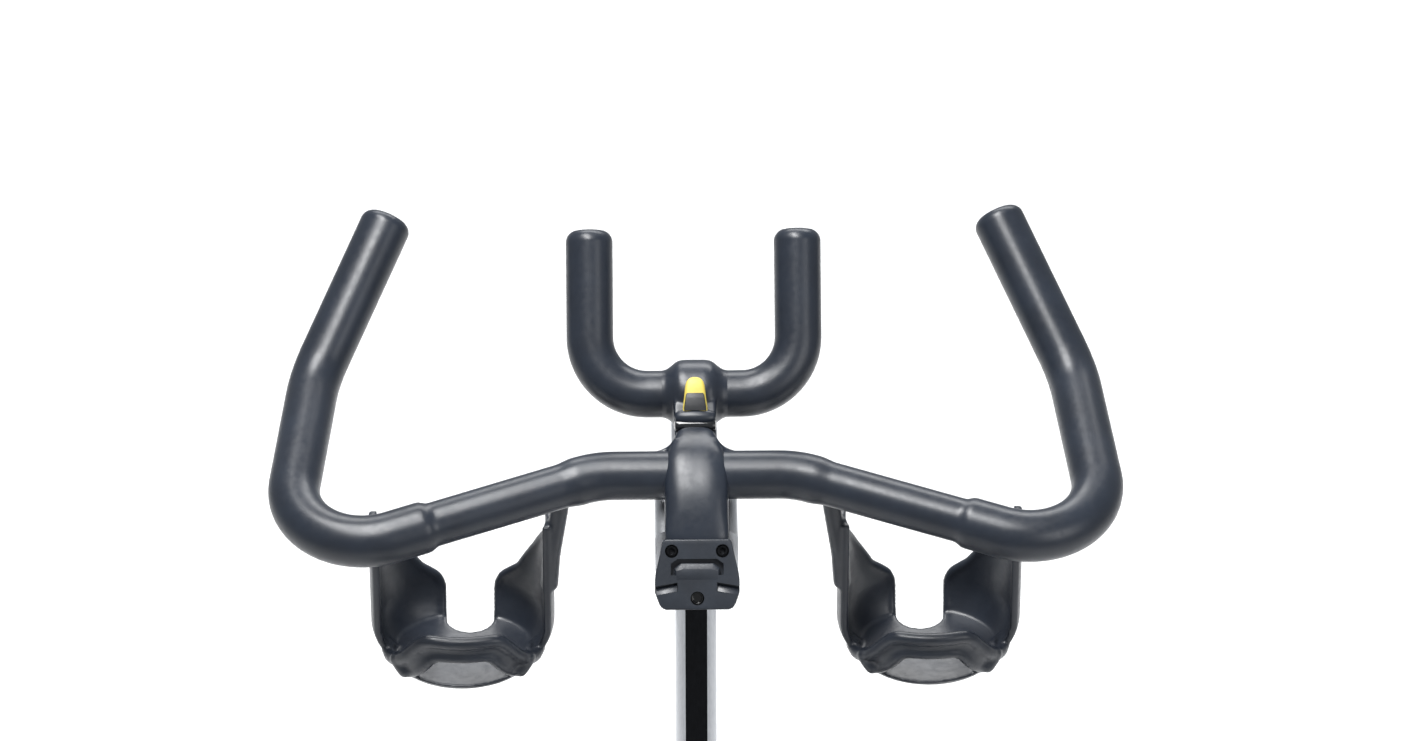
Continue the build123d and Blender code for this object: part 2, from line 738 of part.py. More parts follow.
GUIDE_THICKNESS = 5
with BuildPart() as caliper_guide:
    with BuildSketch(brake_plane(tube_low_height)):
        RectangleRounded(36, CALIPER_LENGTH, 4)
        Circle(BUSH_RADIUS, mode=Mode.SUBTRACT)
    extrude(amount=-GUIDE_THICKNESS)
    with BuildSketch(brake_plane(tube_low_height)):
        with Locations((0, -PIN_STATION), (0, PIN_STATION)):
            Circle(PIN_RADIUS)
    extrude(amount=-(tube_low_height - rod_low - 2))
with BuildPart() as brake_guide:
    add(caliper_guide.part)
    add(brake_ring(tube_low_height - GUIDE_THICKNESS, tube_high_height, BUSH_RADIUS, ROD_RADIUS + RUNNING))
    add(brake_ring(tube_high_height, tube_high_height + 4, BUSH_RADIUS + 5, ROD_RADIUS + RUNNING))
save(brake_guide.part, "brake_guide")

SPRING_RADIUS = 8.5
SPRING_WIRE = 0.9
spring_low = tube_high_height + 4 + SPRING_WIRE
spring_high = KNOB_LOW + 16
with BuildPart() as brake_spring:
    with BuildLine() as coil:
        Helix(
            pitch=(spring_high - spring_low) / 5,
            height=spring_high - spring_low,
            radius=SPRING_RADIUS,
            center=brake_plane(spring_low).origin,
            direction=brake_plane(spring_low).z_dir,
        )
    with BuildSketch(Plane(origin=coil.line @ 0, z_dir=coil.line % 0)):
        Circle(SPRING_WIRE)
    sweep(path=coil.line)
save(brake_spring.part, "brake_spring")

with BuildPart() as resistance_knob:
    with BuildSketch(side_plane(along(*rim_point, BRAKE_LEAN, KNOB_LOW), BRAKE_LEAN, 0)):
        with BuildLine():
            Polyline(
                (ROD_RADIUS, 24),
                (14, 24),
                (14, 0),
                (21, 0),
                (23, 6),
                (23, 30),
                (20, 39),
                (12, 43),
                (0, KNOB_HEIGHT),
                (0, KNOB_HEIGHT - 8),
                (ROD_RADIUS, KNOB_HEIGHT - 8),
                close=True,
            )
        make_face()
    revolve(axis=Axis(brake_plane(0).origin, brake_plane(0).z_dir))
save(resistance_knob.part, "resistance_knob")


# ---- posts, sleeves, collars and their levers --------------------------------------------------------
SLEEVE_WIDTH = TUBE_WIDTH - 2 * WALL
SLEEVE_DEPTH = TUBE_DEPTH - 2 * WALL
SLEEVE_LENGTH = 150
COLLAR_HEIGHT = 34
COLLAR_WALL = 7
HINGE_OUT = 12
LEVER_LENGTH = 92
LEVER_HALF_WIDTH = 8
LEVER_THICKNESS = 7
CAM_RADIUS = 8.5
CAM_PIN_RADIUS = 4


def sleeve(top, lean):
    """A plastic liner between a post and its tube, with a lip on the tube's end."""
    low = along(*top, lean, -SLEEVE_LENGTH)
    outer = joined(
        bar(cross_plane(low, lean), SLEEVE_LENGTH, SLEEVE_WIDTH, SLEEVE_DEPTH, TUBE_CORNER - WALL),
        bar(cross_plane(top, lean), 3, TUBE_WIDTH, TUBE_DEPTH, TUBE_CORNER),
    )
    hollow_width = POST_WIDTH + 2 * SLIDE_GAP
    hollow_depth = POST_DEPTH + 2 * SLIDE_GAP
    hollow = bar(cross_plane(low, lean), SLEEVE_LENGTH + 5, hollow_width, hollow_depth, POST_CORNER)
    return cut(outer, hollow)


def hinge_point(top, lean, facing):
    """The lever's pivot, on the collar's front (1) or rear (-1)."""
    angle = math.radians(lean)
    middle = along(*top, lean, -COLLAR_HEIGHT / 2)
    out = facing * (TUBE_DEPTH / 2 + COLLAR_WALL + HINGE_OUT)
    return (middle[0] + out * math.cos(angle), middle[1] - out * math.sin(angle))


def collar(top, lean, facing):
    """A clamp ring round the tube's end, with two ears that hold the lever's pin."""
    low = along(*top, lean, -COLLAR_HEIGHT)
    pivot = hinge_point(top, lean, facing)
    with BuildPart() as made:
        with BuildSketch(cross_plane(low, lean)):
            RectangleRounded(TUBE_WIDTH + 2 * COLLAR_WALL, TUBE_DEPTH + 2 * COLLAR_WALL, TUBE_CORNER + 5)
            RectangleRounded(TUBE_WIDTH, TUBE_DEPTH, TUBE_CORNER, mode=Mode.SUBTRACT)
        extrude(amount=COLLAR_HEIGHT)
        for ear_x in (-LEVER_HALF_WIDTH - 5.5, LEVER_HALF_WIDTH + 0.5):
            with BuildSketch(side_plane(pivot, lean, ear_x)):
                Circle(8)
                with Locations((-facing * (HINGE_OUT / 2 + 0.5), 0)):
                    Rectangle(HINGE_OUT + 1, 16)
            extrude(amount=5)
        add(rod_x(pivot, CAM_PIN_RADIUS, -LEVER_HALF_WIDTH - 5.5, LEVER_HALF_WIDTH + 5.5))
    return made.part


def clamp_lever(pivot, lean, facing):
    """A cam on the collar's pin with a handle that lies down along the tube."""
    with BuildPart() as made:
        with BuildSketch(side_plane(pivot, lean, -LEVER_HALF_WIDTH)):
            Circle(CAM_RADIUS)
            with BuildLine():
                Polyline(
                    (facing * (CAM_RADIUS - LEVER_THICKNESS), -4),
                    (facing * CAM_RADIUS, 0),
                    (facing * (CAM_RADIUS + 4), -LEVER_LENGTH * 0.6),
                    (facing * (CAM_RADIUS + 12), -LEVER_LENGTH),
                    (facing * (CAM_RADIUS + 6), -LEVER_LENGTH - 3),
                    (facing * (CAM_RADIUS - 3), -LEVER_LENGTH * 0.6),
                    close=True,
                )
            make_face()
            Circle(CAM_PIN_RADIUS + RUNNING, mode=Mode.SUBTRACT)
        extrude(amount=2 * LEVER_HALF_WIDTH)
    return made.part


save_group([sleeve(head_top, HEAD_LEAN), sleeve(seat_top, -SEAT_LEAN)], "post_sleeves")
save_group([collar(head_top, HEAD_LEAN, 1), collar(seat_top, -SEAT_LEAN, -1)], "post_collars")
head_hinge = hinge_point(head_top, HEAD_LEAN, 1)
seat_hinge = hinge_point(seat_top, -SEAT_LEAN, -1)
save(clamp_lever(head_hinge, HEAD_LEAN, 1), "handlebar_post_lever")
save(clamp_lever(seat_hinge, -SEAT_LEAN, -1), "seat_post_lever")

# Each post's top is cut level, where its slide rests on it.
SCALE_WIDTH = 15
SCALE_DEPTH = 1.2


def post(top, lean, length, level_z):
    """A leaning hollow post with a level top."""
    low = along(*top, lean, -length)
    above = bar(Plane(origin=(0, top[0], level_z)), 80, 200, 200, 1)
    return cut(tube(cross_plane(low, lean), length + 30, POST_WIDTH, POST_DEPTH, POST_CORNER, POST_WALL), above)


scale_low = along(*post_top, HEAD_LEAN, -POST_LENGTH + 20)
scale_low = (scale_low[0] - (POST_DEPTH / 2 - SCALE_DEPTH / 2) * math.cos(math.radians(HEAD_LEAN)),
             scale_low[1] + (POST_DEPTH / 2 - SCALE_DEPTH / 2) * math.sin(math.radians(HEAD_LEAN)))
above_slide = bar(Plane(origin=(0, post_top[0], SLIDE_BOTTOM)), 80, 200, 200, 1)
post_scale = cut(
    bar(cross_plane(scale_low, HEAD_LEAN), POST_LENGTH, SCALE_WIDTH, SCALE_DEPTH, 0.4),
    above_slide,
)
handlebar_post = cut(post(post_top, HEAD_LEAN, POST_LENGTH, SLIDE_BOTTOM), post_scale)
save(handlebar_post, "handlebar_post")
save(post_scale, "post_scale")

SEAT_LEVEL = seat_post_top[1]
seat_post = post(seat_post_top, -SEAT_LEAN, SEAT_POST_LENGTH, SEAT_LEVEL)


# ---- saddle ------------------------------------------------------------------------------------------
RAIL_HALF_WIDTH = 18
RAIL_HEIGHT = 28
RAIL_LENGTH = 190
RAIL_MIDDLE_Y = seat_post_top[0] - 10
CARRIAGE_LENGTH = 76
CARRIAGE_Y = RAIL_MIDDLE_Y - 8
CARRIAGE_WALL = 7
CARRIAGE_TOP = SEAT_LEVEL + RAIL_HEIGHT + CLEAR + 8
WIRE_RADIUS = 3.5
WIRE_X = 22
WIRE_Z = CARRIAGE_TOP + 16
SHELL_Z = WIRE_Z + 20
SHELL_THICKNESS = 7
PAD_RISE = 42
SADDLE_REAR = CARRIAGE_Y - 128
SADDLE_LENGTH = 272
SADDLE_HALF_WIDTH = 96
NOSE_HALF_WIDTH = 24


seat_rail_plane = Plane(
    origin=(0, RAIL_MIDDLE_Y - RAIL_LENGTH / 2, SEAT_LEVEL + RAIL_HEIGHT / 2),
    x_dir=(1, 0, 0),
    z_dir=(0, 1, 0),
)
seat_rail = bar(seat_rail_plane, RAIL_LENGTH, 2 * RAIL_HALF_WIDTH, RAIL_HEIGHT, 4)
save(joined(seat_post, seat_rail), "seat_post")

# The carriage wraps the rail and clamps the saddle's two wires.
carriage_half = RAIL_HALF_WIDTH + CLEAR + CARRIAGE_WALL
CLAMP_HALF_LENGTH = 22
saddle_wire = swept(
    [
        (WIRE_X + 16, SADDLE_REAR + 42, SHELL_Z),
        (WIRE_X, SADDLE_REAR + 68, WIRE_Z),
        (WIRE_X, CARRIAGE_Y + 50, WIRE_Z),
        (WIRE_X - 12, CARRIAGE_Y + 92, SHELL_Z),
    ],
    [18, 18],
    WIRE_RADIUS,
)
above_shell = bar(Plane(origin=(0, CARRIAGE_Y, SHELL_Z)), 40, 400, 500, 1)
saddle_wire = cut(saddle_wire, above_shell)
other_wire = mirror(saddle_wire, about=Plane.YZ)
saddle_pivot = (CARRIAGE_Y, SEAT_LEVEL + RAIL_HEIGHT / 2)
SADDLE_HUB_RADIUS = 11
SADDLE_HUB_WIDTH = 12
with BuildPart() as saddle_carriage:
    with BuildSketch(Plane.XY.offset(SEAT_LEVEL + 3)):
        with Locations((0, CARRIAGE_Y)):
            RectangleRounded(2 * carriage_half, CARRIAGE_LENGTH, 6)
    extrude(amount=CARRIAGE_TOP - SEAT_LEVEL - 3)
    with BuildSketch(Plane.XZ.offset(-CARRIAGE_Y - CARRIAGE_LENGTH)):
        with Locations((0, SEAT_LEVEL + RAIL_HEIGHT / 2 - 5)):
            Rectangle(2 * (RAIL_HALF_WIDTH + CLEAR), RAIL_HEIGHT + 2 * CLEAR + 10)
    extrude(amount=2 * CARRIAGE_LENGTH, mode=Mode.SUBTRACT)
    with BuildSketch(Plane.XY.offset(CARRIAGE_TOP)):
        with Locations((0, CARRIAGE_Y)):
            RectangleRounded(2 * WIRE_X + 18, 2 * CLAMP_HALF_LENGTH, 4)
    extrude(amount=WIRE_Z + 7 - CARRIAGE_TOP)
    add(saddle_wire, mode=Mode.SUBTRACT)
    add(other_wire, mode=Mode.SUBTRACT)
    add(rod_x(saddle_pivot, CAM_PIN_RADIUS, carriage_half, carriage_half + SADDLE_HUB_WIDTH + 2))
save(saddle_carriage.part, "saddle_carriage")
save_group([saddle_wire, other_wire], "saddle_wires")

with BuildPart() as saddle_lever:
    with BuildSketch(Plane.YZ.offset(carriage_half + 1)):
        with Locations(saddle_pivot):
            Circle(SADDLE_HUB_RADIUS)
        with BuildLine():
            Polyline(
                (saddle_pivot[0], saddle_pivot[1] + SADDLE_HUB_RADIUS - 2),
                (saddle_pivot[0] - 62, saddle_pivot[1] - 12),
                (saddle_pivot[0] - 66, saddle_pivot[1] - 20),
                (saddle_pivot[0] - 58, saddle_pivot[1] - 24),
                (saddle_pivot[0], saddle_pivot[1] - SADDLE_HUB_RADIUS + 1),
                close=True,
            )
        make_face()
        with Locations(saddle_pivot):
            Circle(CAM_PIN_RADIUS + RUNNING, mode=Mode.SUBTRACT)
    extrude(amount=SADDLE_HUB_WIDTH)
save(saddle_lever.part, "saddle_lever")


def saddle_plan(z, inset):
    """The saddle's outline, wide at the rear and narrow at the nose."""
    wide = SADDLE_HALF_WIDTH - inset
    nose = NOSE_HALF_WIDTH - inset
    rear = SADDLE_REAR + inset
    front = SADDLE_REAR + SADDLE_LENGTH - inset
    with BuildSketch(Plane.XY.offset(z)) as made:
        with BuildLine() as half:
            Spline(
                (0, rear),
                (wide * 0.65, rear + 8),
                (wide, rear + 58),
                (wide * 0.78, rear + 112),
                (nose * 1.7, rear + 165),
                (nose, front - 30),
                (0, front),
                tangents=[(1, 0), (-1, 0)],
            )
            mirror(half.line, about=Plane.YZ)
        make_face()
    return made.sketch


with BuildPart() as saddle_shell:
    add(saddle_plan(SHELL_Z, 6))
    extrude(amount=SHELL_THICKNESS)
save(saddle_shell.part, "saddle_shell")
with BuildPart() as saddle_pad:
    add(saddle_plan(SHELL_Z + SHELL_THICKNESS, 0))
    add(saddle_plan(SHELL_Z + SHELL_THICKNESS + PAD_RISE, 13))
    loft()
save(saddle_pad.part, "saddle_pad")


# ---- handlebar ---------------------------------------------------------------------------------------
HOUSING_HALF_WIDTH = 26.5
HOUSING_REAR = -34
HOUSING_FRONT = 50
HOUSING_TOP = -20
HOUSING_BOTTOM = -56
SLIDE_HALF_WIDTH = 15
BAR_BEND = (266, -64, -26)
NECK_HALF_WIDTH = 14
NECK_LENGTH = 72
STEM_HALF_WIDTH = 20.5

slide_plane = Plane(origin=(0, BAR_Y + 4, (SLIDE_TOP + SLIDE_BOTTOM) / 2), x_dir=(1, 0, 0), z_dir=(0, 1, 0))
save(bar(slide_plane, SLIDE_LENGTH, 2 * SLIDE_HALF_WIDTH, SLIDE_TOP - SLIDE_BOTTOM, 4), "slide_bar")

# The housing is a channel over the slide bar, closed at the rider's end.
with BuildPart() as slider_housing:
    with BuildSketch(Plane(origin=on_bar(0, HOUSING_REAR, 0), x_dir=(1, 0, 0), z_dir=(0, 1, 0))):
        with Locations((0, -(HOUSING_TOP + HOUSING_BOTTOM) / 2)):
            RectangleRounded(2 * HOUSING_HALF_WIDTH, HOUSING_TOP - HOUSING_BOTTOM, 6)
    extrude(amount=HOUSING_FRONT - HOUSING_REAR)
    with BuildSketch(Plane(origin=on_bar(0, HOUSING_REAR + 5, 0), x_dir=(1, 0, 0), z_dir=(0, 1, 0))):
        with Locations((0, 26 - CLEAR + 20)):
            Rectangle(2 * (SLIDE_HALF_WIDTH + CLEAR), 40)
    extrude(amount=HOUSING_FRONT - HOUSING_REAR, mode=Mode.SUBTRACT)
save(slider_housing.part, "slider_housing")

bend_left = (-BAR_BEND[0], BAR_BEND[1], BAR_BEND[2])
horn_shape = [(247, 101, 7), (199, 187, 75)]
right_horn = [on_bar(*point) for point in horn_shape]
left_horn = [on_bar(-point[0], point[1], point[2]) for point in reversed(horn_shape)]
MIDDLE_RUN = 64
bar_route = [
    *left_horn,
    on_bar(*bend_left),
    on_bar(-MIDDLE_RUN, 0, 0),
    on_bar(MIDDLE_RUN, 0, 0),
    on_bar(*BAR_BEND),
    *right_horn,
]
BEND_RADIUS = 48
HORN_BEND_RADIUS = 60
MIDDLE_BEND_RADIUS = 70
bar_solid = swept(
    bar_route,
    [HORN_BEND_RADIUS, BEND_RADIUS, MIDDLE_BEND_RADIUS, MIDDLE_BEND_RADIUS, BEND_RADIUS, HORN_BEND_RADIUS],
    BAR_RADIUS,
)

# The grips start a little over half way along each sloping run.
GRIP_START = 0.535
grip_start = tuple(
    (MIDDLE_RUN if axis == 0 else 0) + GRIP_START * (BAR_BEND[axis] - (MIDDLE_RUN if axis == 0 else 0))
    for axis in range(3)
)
grip_route = [on_bar(*grip_start), on_bar(*BAR_BEND), *right_horn]
right_grip = swept(grip_route, [BEND_RADIUS, HORN_BEND_RADIUS], GRIP_RADIUS, BAR_RADIUS)
save(bar_solid, "main_bar")
save_group([mirror(right_grip, about=Plane.YZ), right_grip], "hand_grips")

aero_rise = math.radians(AERO_RISE)
AERO_HALF_WIDTH = 67.5
AERO_LENGTH = 107
AERO_Z = 13
aero_tip = (NECK_LENGTH + AERO_LENGTH * math.cos(aero_rise), AERO_Z + AERO_LENGTH * math.sin(aero_rise))
aero_solid = swept(
    [
        on_bar(-AERO_HALF_WIDTH, *aero_tip),
        on_bar(-AERO_HALF_WIDTH, NECK_LENGTH, AERO_Z),
        on_bar(AERO_HALF_WIDTH, NECK_LENGTH, AERO_Z),
        on_bar(AERO_HALF_WIDTH, *aero_tip),
    ],
    [37, 37],
    AERO_RADIUS,
)
save(aero_solid, "aero_bar")


def stem_outline(points):
    """Side points given from the middle of the bar."""
    return [(BAR_Y + y, BAR_Z + z) for y, z in points]


LEVER_PIVOT = (39, 19.5)
LEVER_CAM_RADIUS = 5
LEVER_PIN_RADIUS = 2
EAR_LOW_X = 9
EAR_HIGH_X = 13
lever_axis = (BAR_Y + LEVER_PIVOT[0], BAR_Z + LEVER_PIVOT[1])
dock_top = (-46, -17)
dock_angle = math.radians(DOCK_TILT)
dock_back = (
    dock_top[0] + DOCK_THICKNESS * math.cos(dock_angle),
    dock_top[1] - DOCK_THICKNESS * math.sin(dock_angle),
)
WEDGE_DROP = 22
wedge_y = dock_back[0] - WEDGE_DROP * math.tan(dock_angle)
stem_side = [
    (50, HOUSING_TOP),
    (HOUSING_REAR, HOUSING_TOP),
    (HOUSING_REAR, dock_back[1] - WEDGE_DROP),
    (wedge_y, dock_back[1] - WEDGE_DROP),
    dock_back,
    dock_top,
    (-40, -5),
    (-25, 12),
    (0, 20),
    (30, 14),
    (50, -4),
]
with BuildPart() as stem:
    add(plate_x(stem_outline(stem_side), -STEM_HALF_WIDTH, STEM_HALF_WIDTH))
    add(
        plate_x(
            stem_outline([(0, -16), (NECK_LENGTH, -8), (NECK_LENGTH, 24), (0, 14)]),
            -NECK_HALF_WIDTH,
            NECK_HALF_WIDTH,
        )
    )
    add(rod_x((BAR_Y + NECK_LENGTH, BAR_Z + AERO_Z), 21.5, -16, 16))
    for ear_x in (-EAR_HIGH_X, EAR_LOW_X):
        add(rod_x(lever_axis, 8, ear_x, ear_x + EAR_HIGH_X - EAR_LOW_X))
    add(rod_x(lever_axis, LEVER_CAM_RADIUS + CLEAR, -EAR_LOW_X, EAR_LOW_X), mode=Mode.SUBTRACT)
    add(
        plate_x(
            stem_outline([(36, 14), (70, 30), (70, 60), (20, 60), (20, 26)]), -EAR_LOW_X, EAR_LOW_X
        ),
        mode=Mode.SUBTRACT,
    )
    add(rod_x(lever_axis, LEVER_PIN_RADIUS, -EAR_HIGH_X, EAR_HIGH_X))
    add(bar_solid, mode=Mode.SUBTRACT)
    add(aero_solid, mode=Mode.SUBTRACT)
save(stem.part, "stem")

with BuildPart() as fore_aft_lever:
    with BuildSketch(Plane.YZ.offset(-EAR_LOW_X + CLEAR)):
        with BuildLine():
            blade = stem_outline([(35, 22), (42, 16), (50, 26), (60, 36), (57, 40), (45, 33)])
            Polyline(*blade, close=True)
        make_face()
        with Locations(lever_axis):
            Circle(LEVER_CAM_RADIUS)
            Circle(LEVER_PIN_RADIUS + RUNNING, mode=Mode.SUBTRACT)
    extrude(amount=2 * (EAR_LOW_X - CLEAR))
save(fore_aft_lever.part, "fore_aft_lever")

# The dock is a shaped plate with a raised tongue, two screws and one threaded hole.
DOCK_HEIGHT = 45
DOCK_HOLE_RADIUS = 4.5
DOCK_HOLE_DEPTH = 12
dock_plane = Plane(
    origin=on_bar(0, *dock_top), x_dir=(1, 0, 0), z_dir=(0, -math.cos(dock_angle), math.sin(dock_angle))
)
with BuildPart() as console_dock:
    with BuildSketch(dock_plane):
        with BuildLine():
            FilletPolyline(
                (-21.5, 0),
                (21.5, 0),
                (27, -24),
                (27, -36),
                (22.5, -DOCK_HEIGHT),
                (-22.5, -DOCK_HEIGHT),
                (-27, -36),
                (-27, -24),
                radius=2,
                close=True,
            )
        make_face()
    extrude(amount=-DOCK_THICKNESS)
    with BuildSketch(dock_plane):
        with Locations((-16.2, -7.4), (16.2, -7.4)):
            Circle(4.2)
    extrude(amount=-5, mode=Mode.SUBTRACT)
    with BuildSketch(dock_plane):
        with Locations((-20.5, -31), (20.5, -31)):
            Rectangle(14, 7)
    extrude(amount=-4, mode=Mode.SUBTRACT)
    with BuildSketch(dock_plane):
        with BuildLine():
            Polyline(
                (-13, -DOCK_HEIGHT),
                (13, -DOCK_HEIGHT),
                (13, -20),
                (9, -16),
                (-9, -16),
                (-13, -20),
                close=True,
            )
        make_face()
    extrude(amount=2.5)
    with BuildSketch(dock_plane.offset(3)):
        with Locations((0, -37.5)):
            Circle(DOCK_HOLE_RADIUS)
    extrude(amount=-DOCK_HOLE_DEPTH - 0.5, mode=Mode.SUBTRACT)
save(console_dock.part, "console_dock")

# A holder is a low cup whose sides rise as wings; its near side is a low arch.
CUP_Y = 20
CUP_FLOOR = -153
CUP_RIM = -34
CUP_WALL = 5
FLOOR_SIZE = (47, 43)
RIM_SIZE = (58, 47)


def cup_body(low_z, high_z, inset):
    """A tapering oval solid round the bottle."""
    with BuildPart() as made:
        with BuildSketch(Plane.XY.offset(BAR_Z + low_z)):
            with Locations((HOLDER_X, BAR_Y + CUP_Y)):
                Ellipse(FLOOR_SIZE[0] - inset, FLOOR_SIZE[1] - inset)
        with BuildSketch(Plane.XY.offset(BAR_Z + high_z)):
            with Locations((HOLDER_X, BAR_Y + CUP_Y)):
                Ellipse(RIM_SIZE[0] - inset, RIM_SIZE[1] - inset)
        loft()
    return made.part


def holder_cutter(points, low_y, high_y):
    """A prism along Y from an outline in X and Z, both given from the cup's middle and the bar."""
    with BuildPart() as made:
        with BuildSketch(Plane(origin=on_bar(HOLDER_X, high_y, 0), x_dir=(1, 0, 0), z_dir=(0, -1, 0))):
            with BuildLine():
                Polyline(*points, close=True)
            make_face()
        extrude(amount=high_y - low_y)
    return made.part


far_cut = [(-17, -124), (-32, -107), (-49, -72), (-54, 0), (54, 0), (49, -72), (32, -107), (17, -124)]
slot_cut = [(-17, -160), (-17, -120), (17, -120), (17, -160)]
near_cut = [
    (-52, -146),
    (-44, -138),
    (-34, -114),
    (-25, -108),
    (25, -108),
    (34, -114),
    (44, -138),
    (52, -146),
    (64, -100),
    (64, 0),
    (-64, 0),
    (-64, -100),
]
arch_cut = [(-34, -148), (-24, -130), (-18, -126), (18, -126), (24, -130), (34, -148)]
NEAR_EDGE = 6

# A rail behind the bar carries the cup.
rail_route = [on_bar(STEM_HALF_WIDTH, 16.5, 1), on_bar(68, 16.5, 1), on_bar(205, -27, -17)]
with BuildPart() as bottle_holder:
    add(cup_body(CUP_FLOOR, CUP_RIM, 0))
    add(cup_body(CUP_FLOOR + CUP_WALL, CUP_RIM + 1, CUP_WALL), mode=Mode.SUBTRACT)
    add(holder_cutter(far_cut, CUP_Y + 10, CUP_Y + 70), mode=Mode.SUBTRACT)
    add(holder_cutter(slot_cut, CUP_Y + 22, CUP_Y + 70), mode=Mode.SUBTRACT)
    add(holder_cutter(near_cut, CUP_Y - 70, NEAR_EDGE), mode=Mode.SUBTRACT)
    add(holder_cutter(arch_cut, CUP_Y - 70, NEAR_EDGE - 10), mode=Mode.SUBTRACT)
    with BuildLine() as rail:
        FilletPolyline(*rail_route, radius=60)
    with BuildSketch(Plane(origin=rail.line @ 0, x_dir=(0, 1, 0), z_dir=rail.line % 0)):
        RectangleRounded(5, 13, 2)
    sweep(path=rail.line)
    add(holder_cutter([(-65, -8), (-73, 8), (-66, 8), (-52, -60), (-57, -60)], 12, 24))
    add(
        plate_x(
            stem_outline([(-26, -24), (-26, -12), (-16, -10), (20, -36), (20, -60), (6, -60), (-18, -36)]),
            HOLDER_X + 48,
            HOLDER_X + 55,
        )
    )
    add(bar_solid, mode=Mode.SUBTRACT)
    add(right_grip, mode=Mode.SUBTRACT)
save_pair(bottle_holder.part, "bottle_holder")
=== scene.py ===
"""Looks for the indoor spin bike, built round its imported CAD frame.

Lengths in the shape sections are in millimetres from the middle of the handlebar's main bar, unless a name says
otherwise, and every mesh is made in metres in the frame's own axes: the rider faces +Y and +X is the rider's right.
"""

import json
import math

import bmesh
import bpy
import numpy as np
from mathutils import Matrix, Vector


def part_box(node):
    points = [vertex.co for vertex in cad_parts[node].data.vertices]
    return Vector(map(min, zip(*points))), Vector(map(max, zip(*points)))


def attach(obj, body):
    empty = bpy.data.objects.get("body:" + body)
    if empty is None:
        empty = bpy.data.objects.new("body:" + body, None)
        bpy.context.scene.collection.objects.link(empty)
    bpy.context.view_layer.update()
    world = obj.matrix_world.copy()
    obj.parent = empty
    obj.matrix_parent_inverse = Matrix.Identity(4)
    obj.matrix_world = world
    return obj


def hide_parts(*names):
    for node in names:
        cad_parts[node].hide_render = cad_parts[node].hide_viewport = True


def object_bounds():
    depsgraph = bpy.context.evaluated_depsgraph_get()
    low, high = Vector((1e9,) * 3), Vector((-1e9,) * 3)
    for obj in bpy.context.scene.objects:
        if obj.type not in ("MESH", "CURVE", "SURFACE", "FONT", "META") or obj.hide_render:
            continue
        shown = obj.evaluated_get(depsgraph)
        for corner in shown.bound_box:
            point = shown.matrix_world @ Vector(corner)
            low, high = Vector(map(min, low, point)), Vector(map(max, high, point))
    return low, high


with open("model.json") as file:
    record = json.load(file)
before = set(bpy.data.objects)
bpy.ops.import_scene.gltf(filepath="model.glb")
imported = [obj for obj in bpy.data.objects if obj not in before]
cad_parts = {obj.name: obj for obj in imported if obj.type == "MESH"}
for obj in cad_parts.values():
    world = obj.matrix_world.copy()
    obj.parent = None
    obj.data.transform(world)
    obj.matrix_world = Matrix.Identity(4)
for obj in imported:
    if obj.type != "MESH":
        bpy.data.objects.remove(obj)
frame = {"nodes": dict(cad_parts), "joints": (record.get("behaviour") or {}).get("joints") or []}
cad_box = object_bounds()
nodes = frame["nodes"]
joints = {joint["name"]: joint for joint in frame["joints"]}

MM = 0.001

# The slide bar lies under the main bar, so its box gives the bar's middle.
slide_low, slide_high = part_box("slide_bar")
BAR = Vector((0, slide_low.y - 4 * MM, slide_high.z + 26 * MM))

BAR_RADIUS = 14.3
GRIP_RADIUS = 16.7
AERO_RADIUS = 15.2
BOSS_Y = 72
BOSS_Z = 13


# ---- geometry helpers ----
def on_bar(x, y, z):
    """A point given in millimetres from the middle of the main bar."""
    return BAR + Vector((x, y, z)) * MM


def lerp(a, b, t):
    return a + (b - a) * t


def smooth_step(low, high, value):
    """0 below `low`, 1 above `high`, and smooth between."""
    t = np.clip((value - low) / (high - low), 0, 1)
    return t * t * (3 - 2 * t)


def rounded_route(corners, radii, step):
    """Evenly spaced points along straight runs joined by arcs."""
    dense = [Vector(corners[0])]
    for before, corner, after, radius in zip(corners, corners[1:], corners[2:], radii):
        back = (before - corner).normalized()
        ahead = (after - corner).normalized()
        turn = math.pi - back.angle(ahead)
        reach = radius * math.tan(turn / 2)
        centre = corner + (back + ahead).normalized() * (radius / math.cos(turn / 2))
        arm_in = corner + back * reach - centre
        arm_out = corner + ahead * reach - centre
        count = max(3, math.ceil(turn * radius / step))
        for k in range(count + 1):
            angle = turn * k / count
            arm = (arm_in * math.sin(turn - angle) + arm_out * math.sin(angle)) / math.sin(turn)
            dense.append(centre + arm)
    dense.append(Vector(corners[-1]))
    lengths = [0]
    for a, b in zip(dense, dense[1:]):
        lengths.append(lengths[-1] + (b - a).length)
    total = lengths[-1]
    count = max(2, round(total / step))
    points = []
    index = 0
    for k in range(count + 1):
        target = total * k / count
        while index < len(dense) - 2 and lengths[index + 1] < target:
            index += 1
        span = lengths[index + 1] - lengths[index]
        points.append(dense[index].lerp(dense[index + 1], (target - lengths[index]) / max(span, 1e-9)))
    return points


def route_frames(points, first_side):
    """A steady pair of side directions along a route."""
    frames = []
    side = Vector(first_side)
    for i in range(len(points)):
        ahead = points[min(i + 1, len(points) - 1)] - points[max(i - 1, 0)]
        ahead.normalize()
        side = (side - ahead * side.dot(ahead)).normalized()
        frames.append((side, ahead.cross(side)))
    return frames


def mesh_object(name, points, faces):
    """A new mesh object with outward faces."""
    mesh = bpy.data.meshes.new(name)
    mesh.from_pydata([tuple(p) for p in points], [], faces)
    built = bmesh.new()
    built.from_mesh(mesh)
    bmesh.ops.remove_doubles(built, verts=built.verts, dist=1e-7)
    bmesh.ops.recalc_face_normals(built, faces=built.faces)
    built.to_mesh(mesh)
    built.free()
    made = bpy.data.objects.new(name, mesh)
    bpy.context.scene.collection.objects.link(made)
    return made


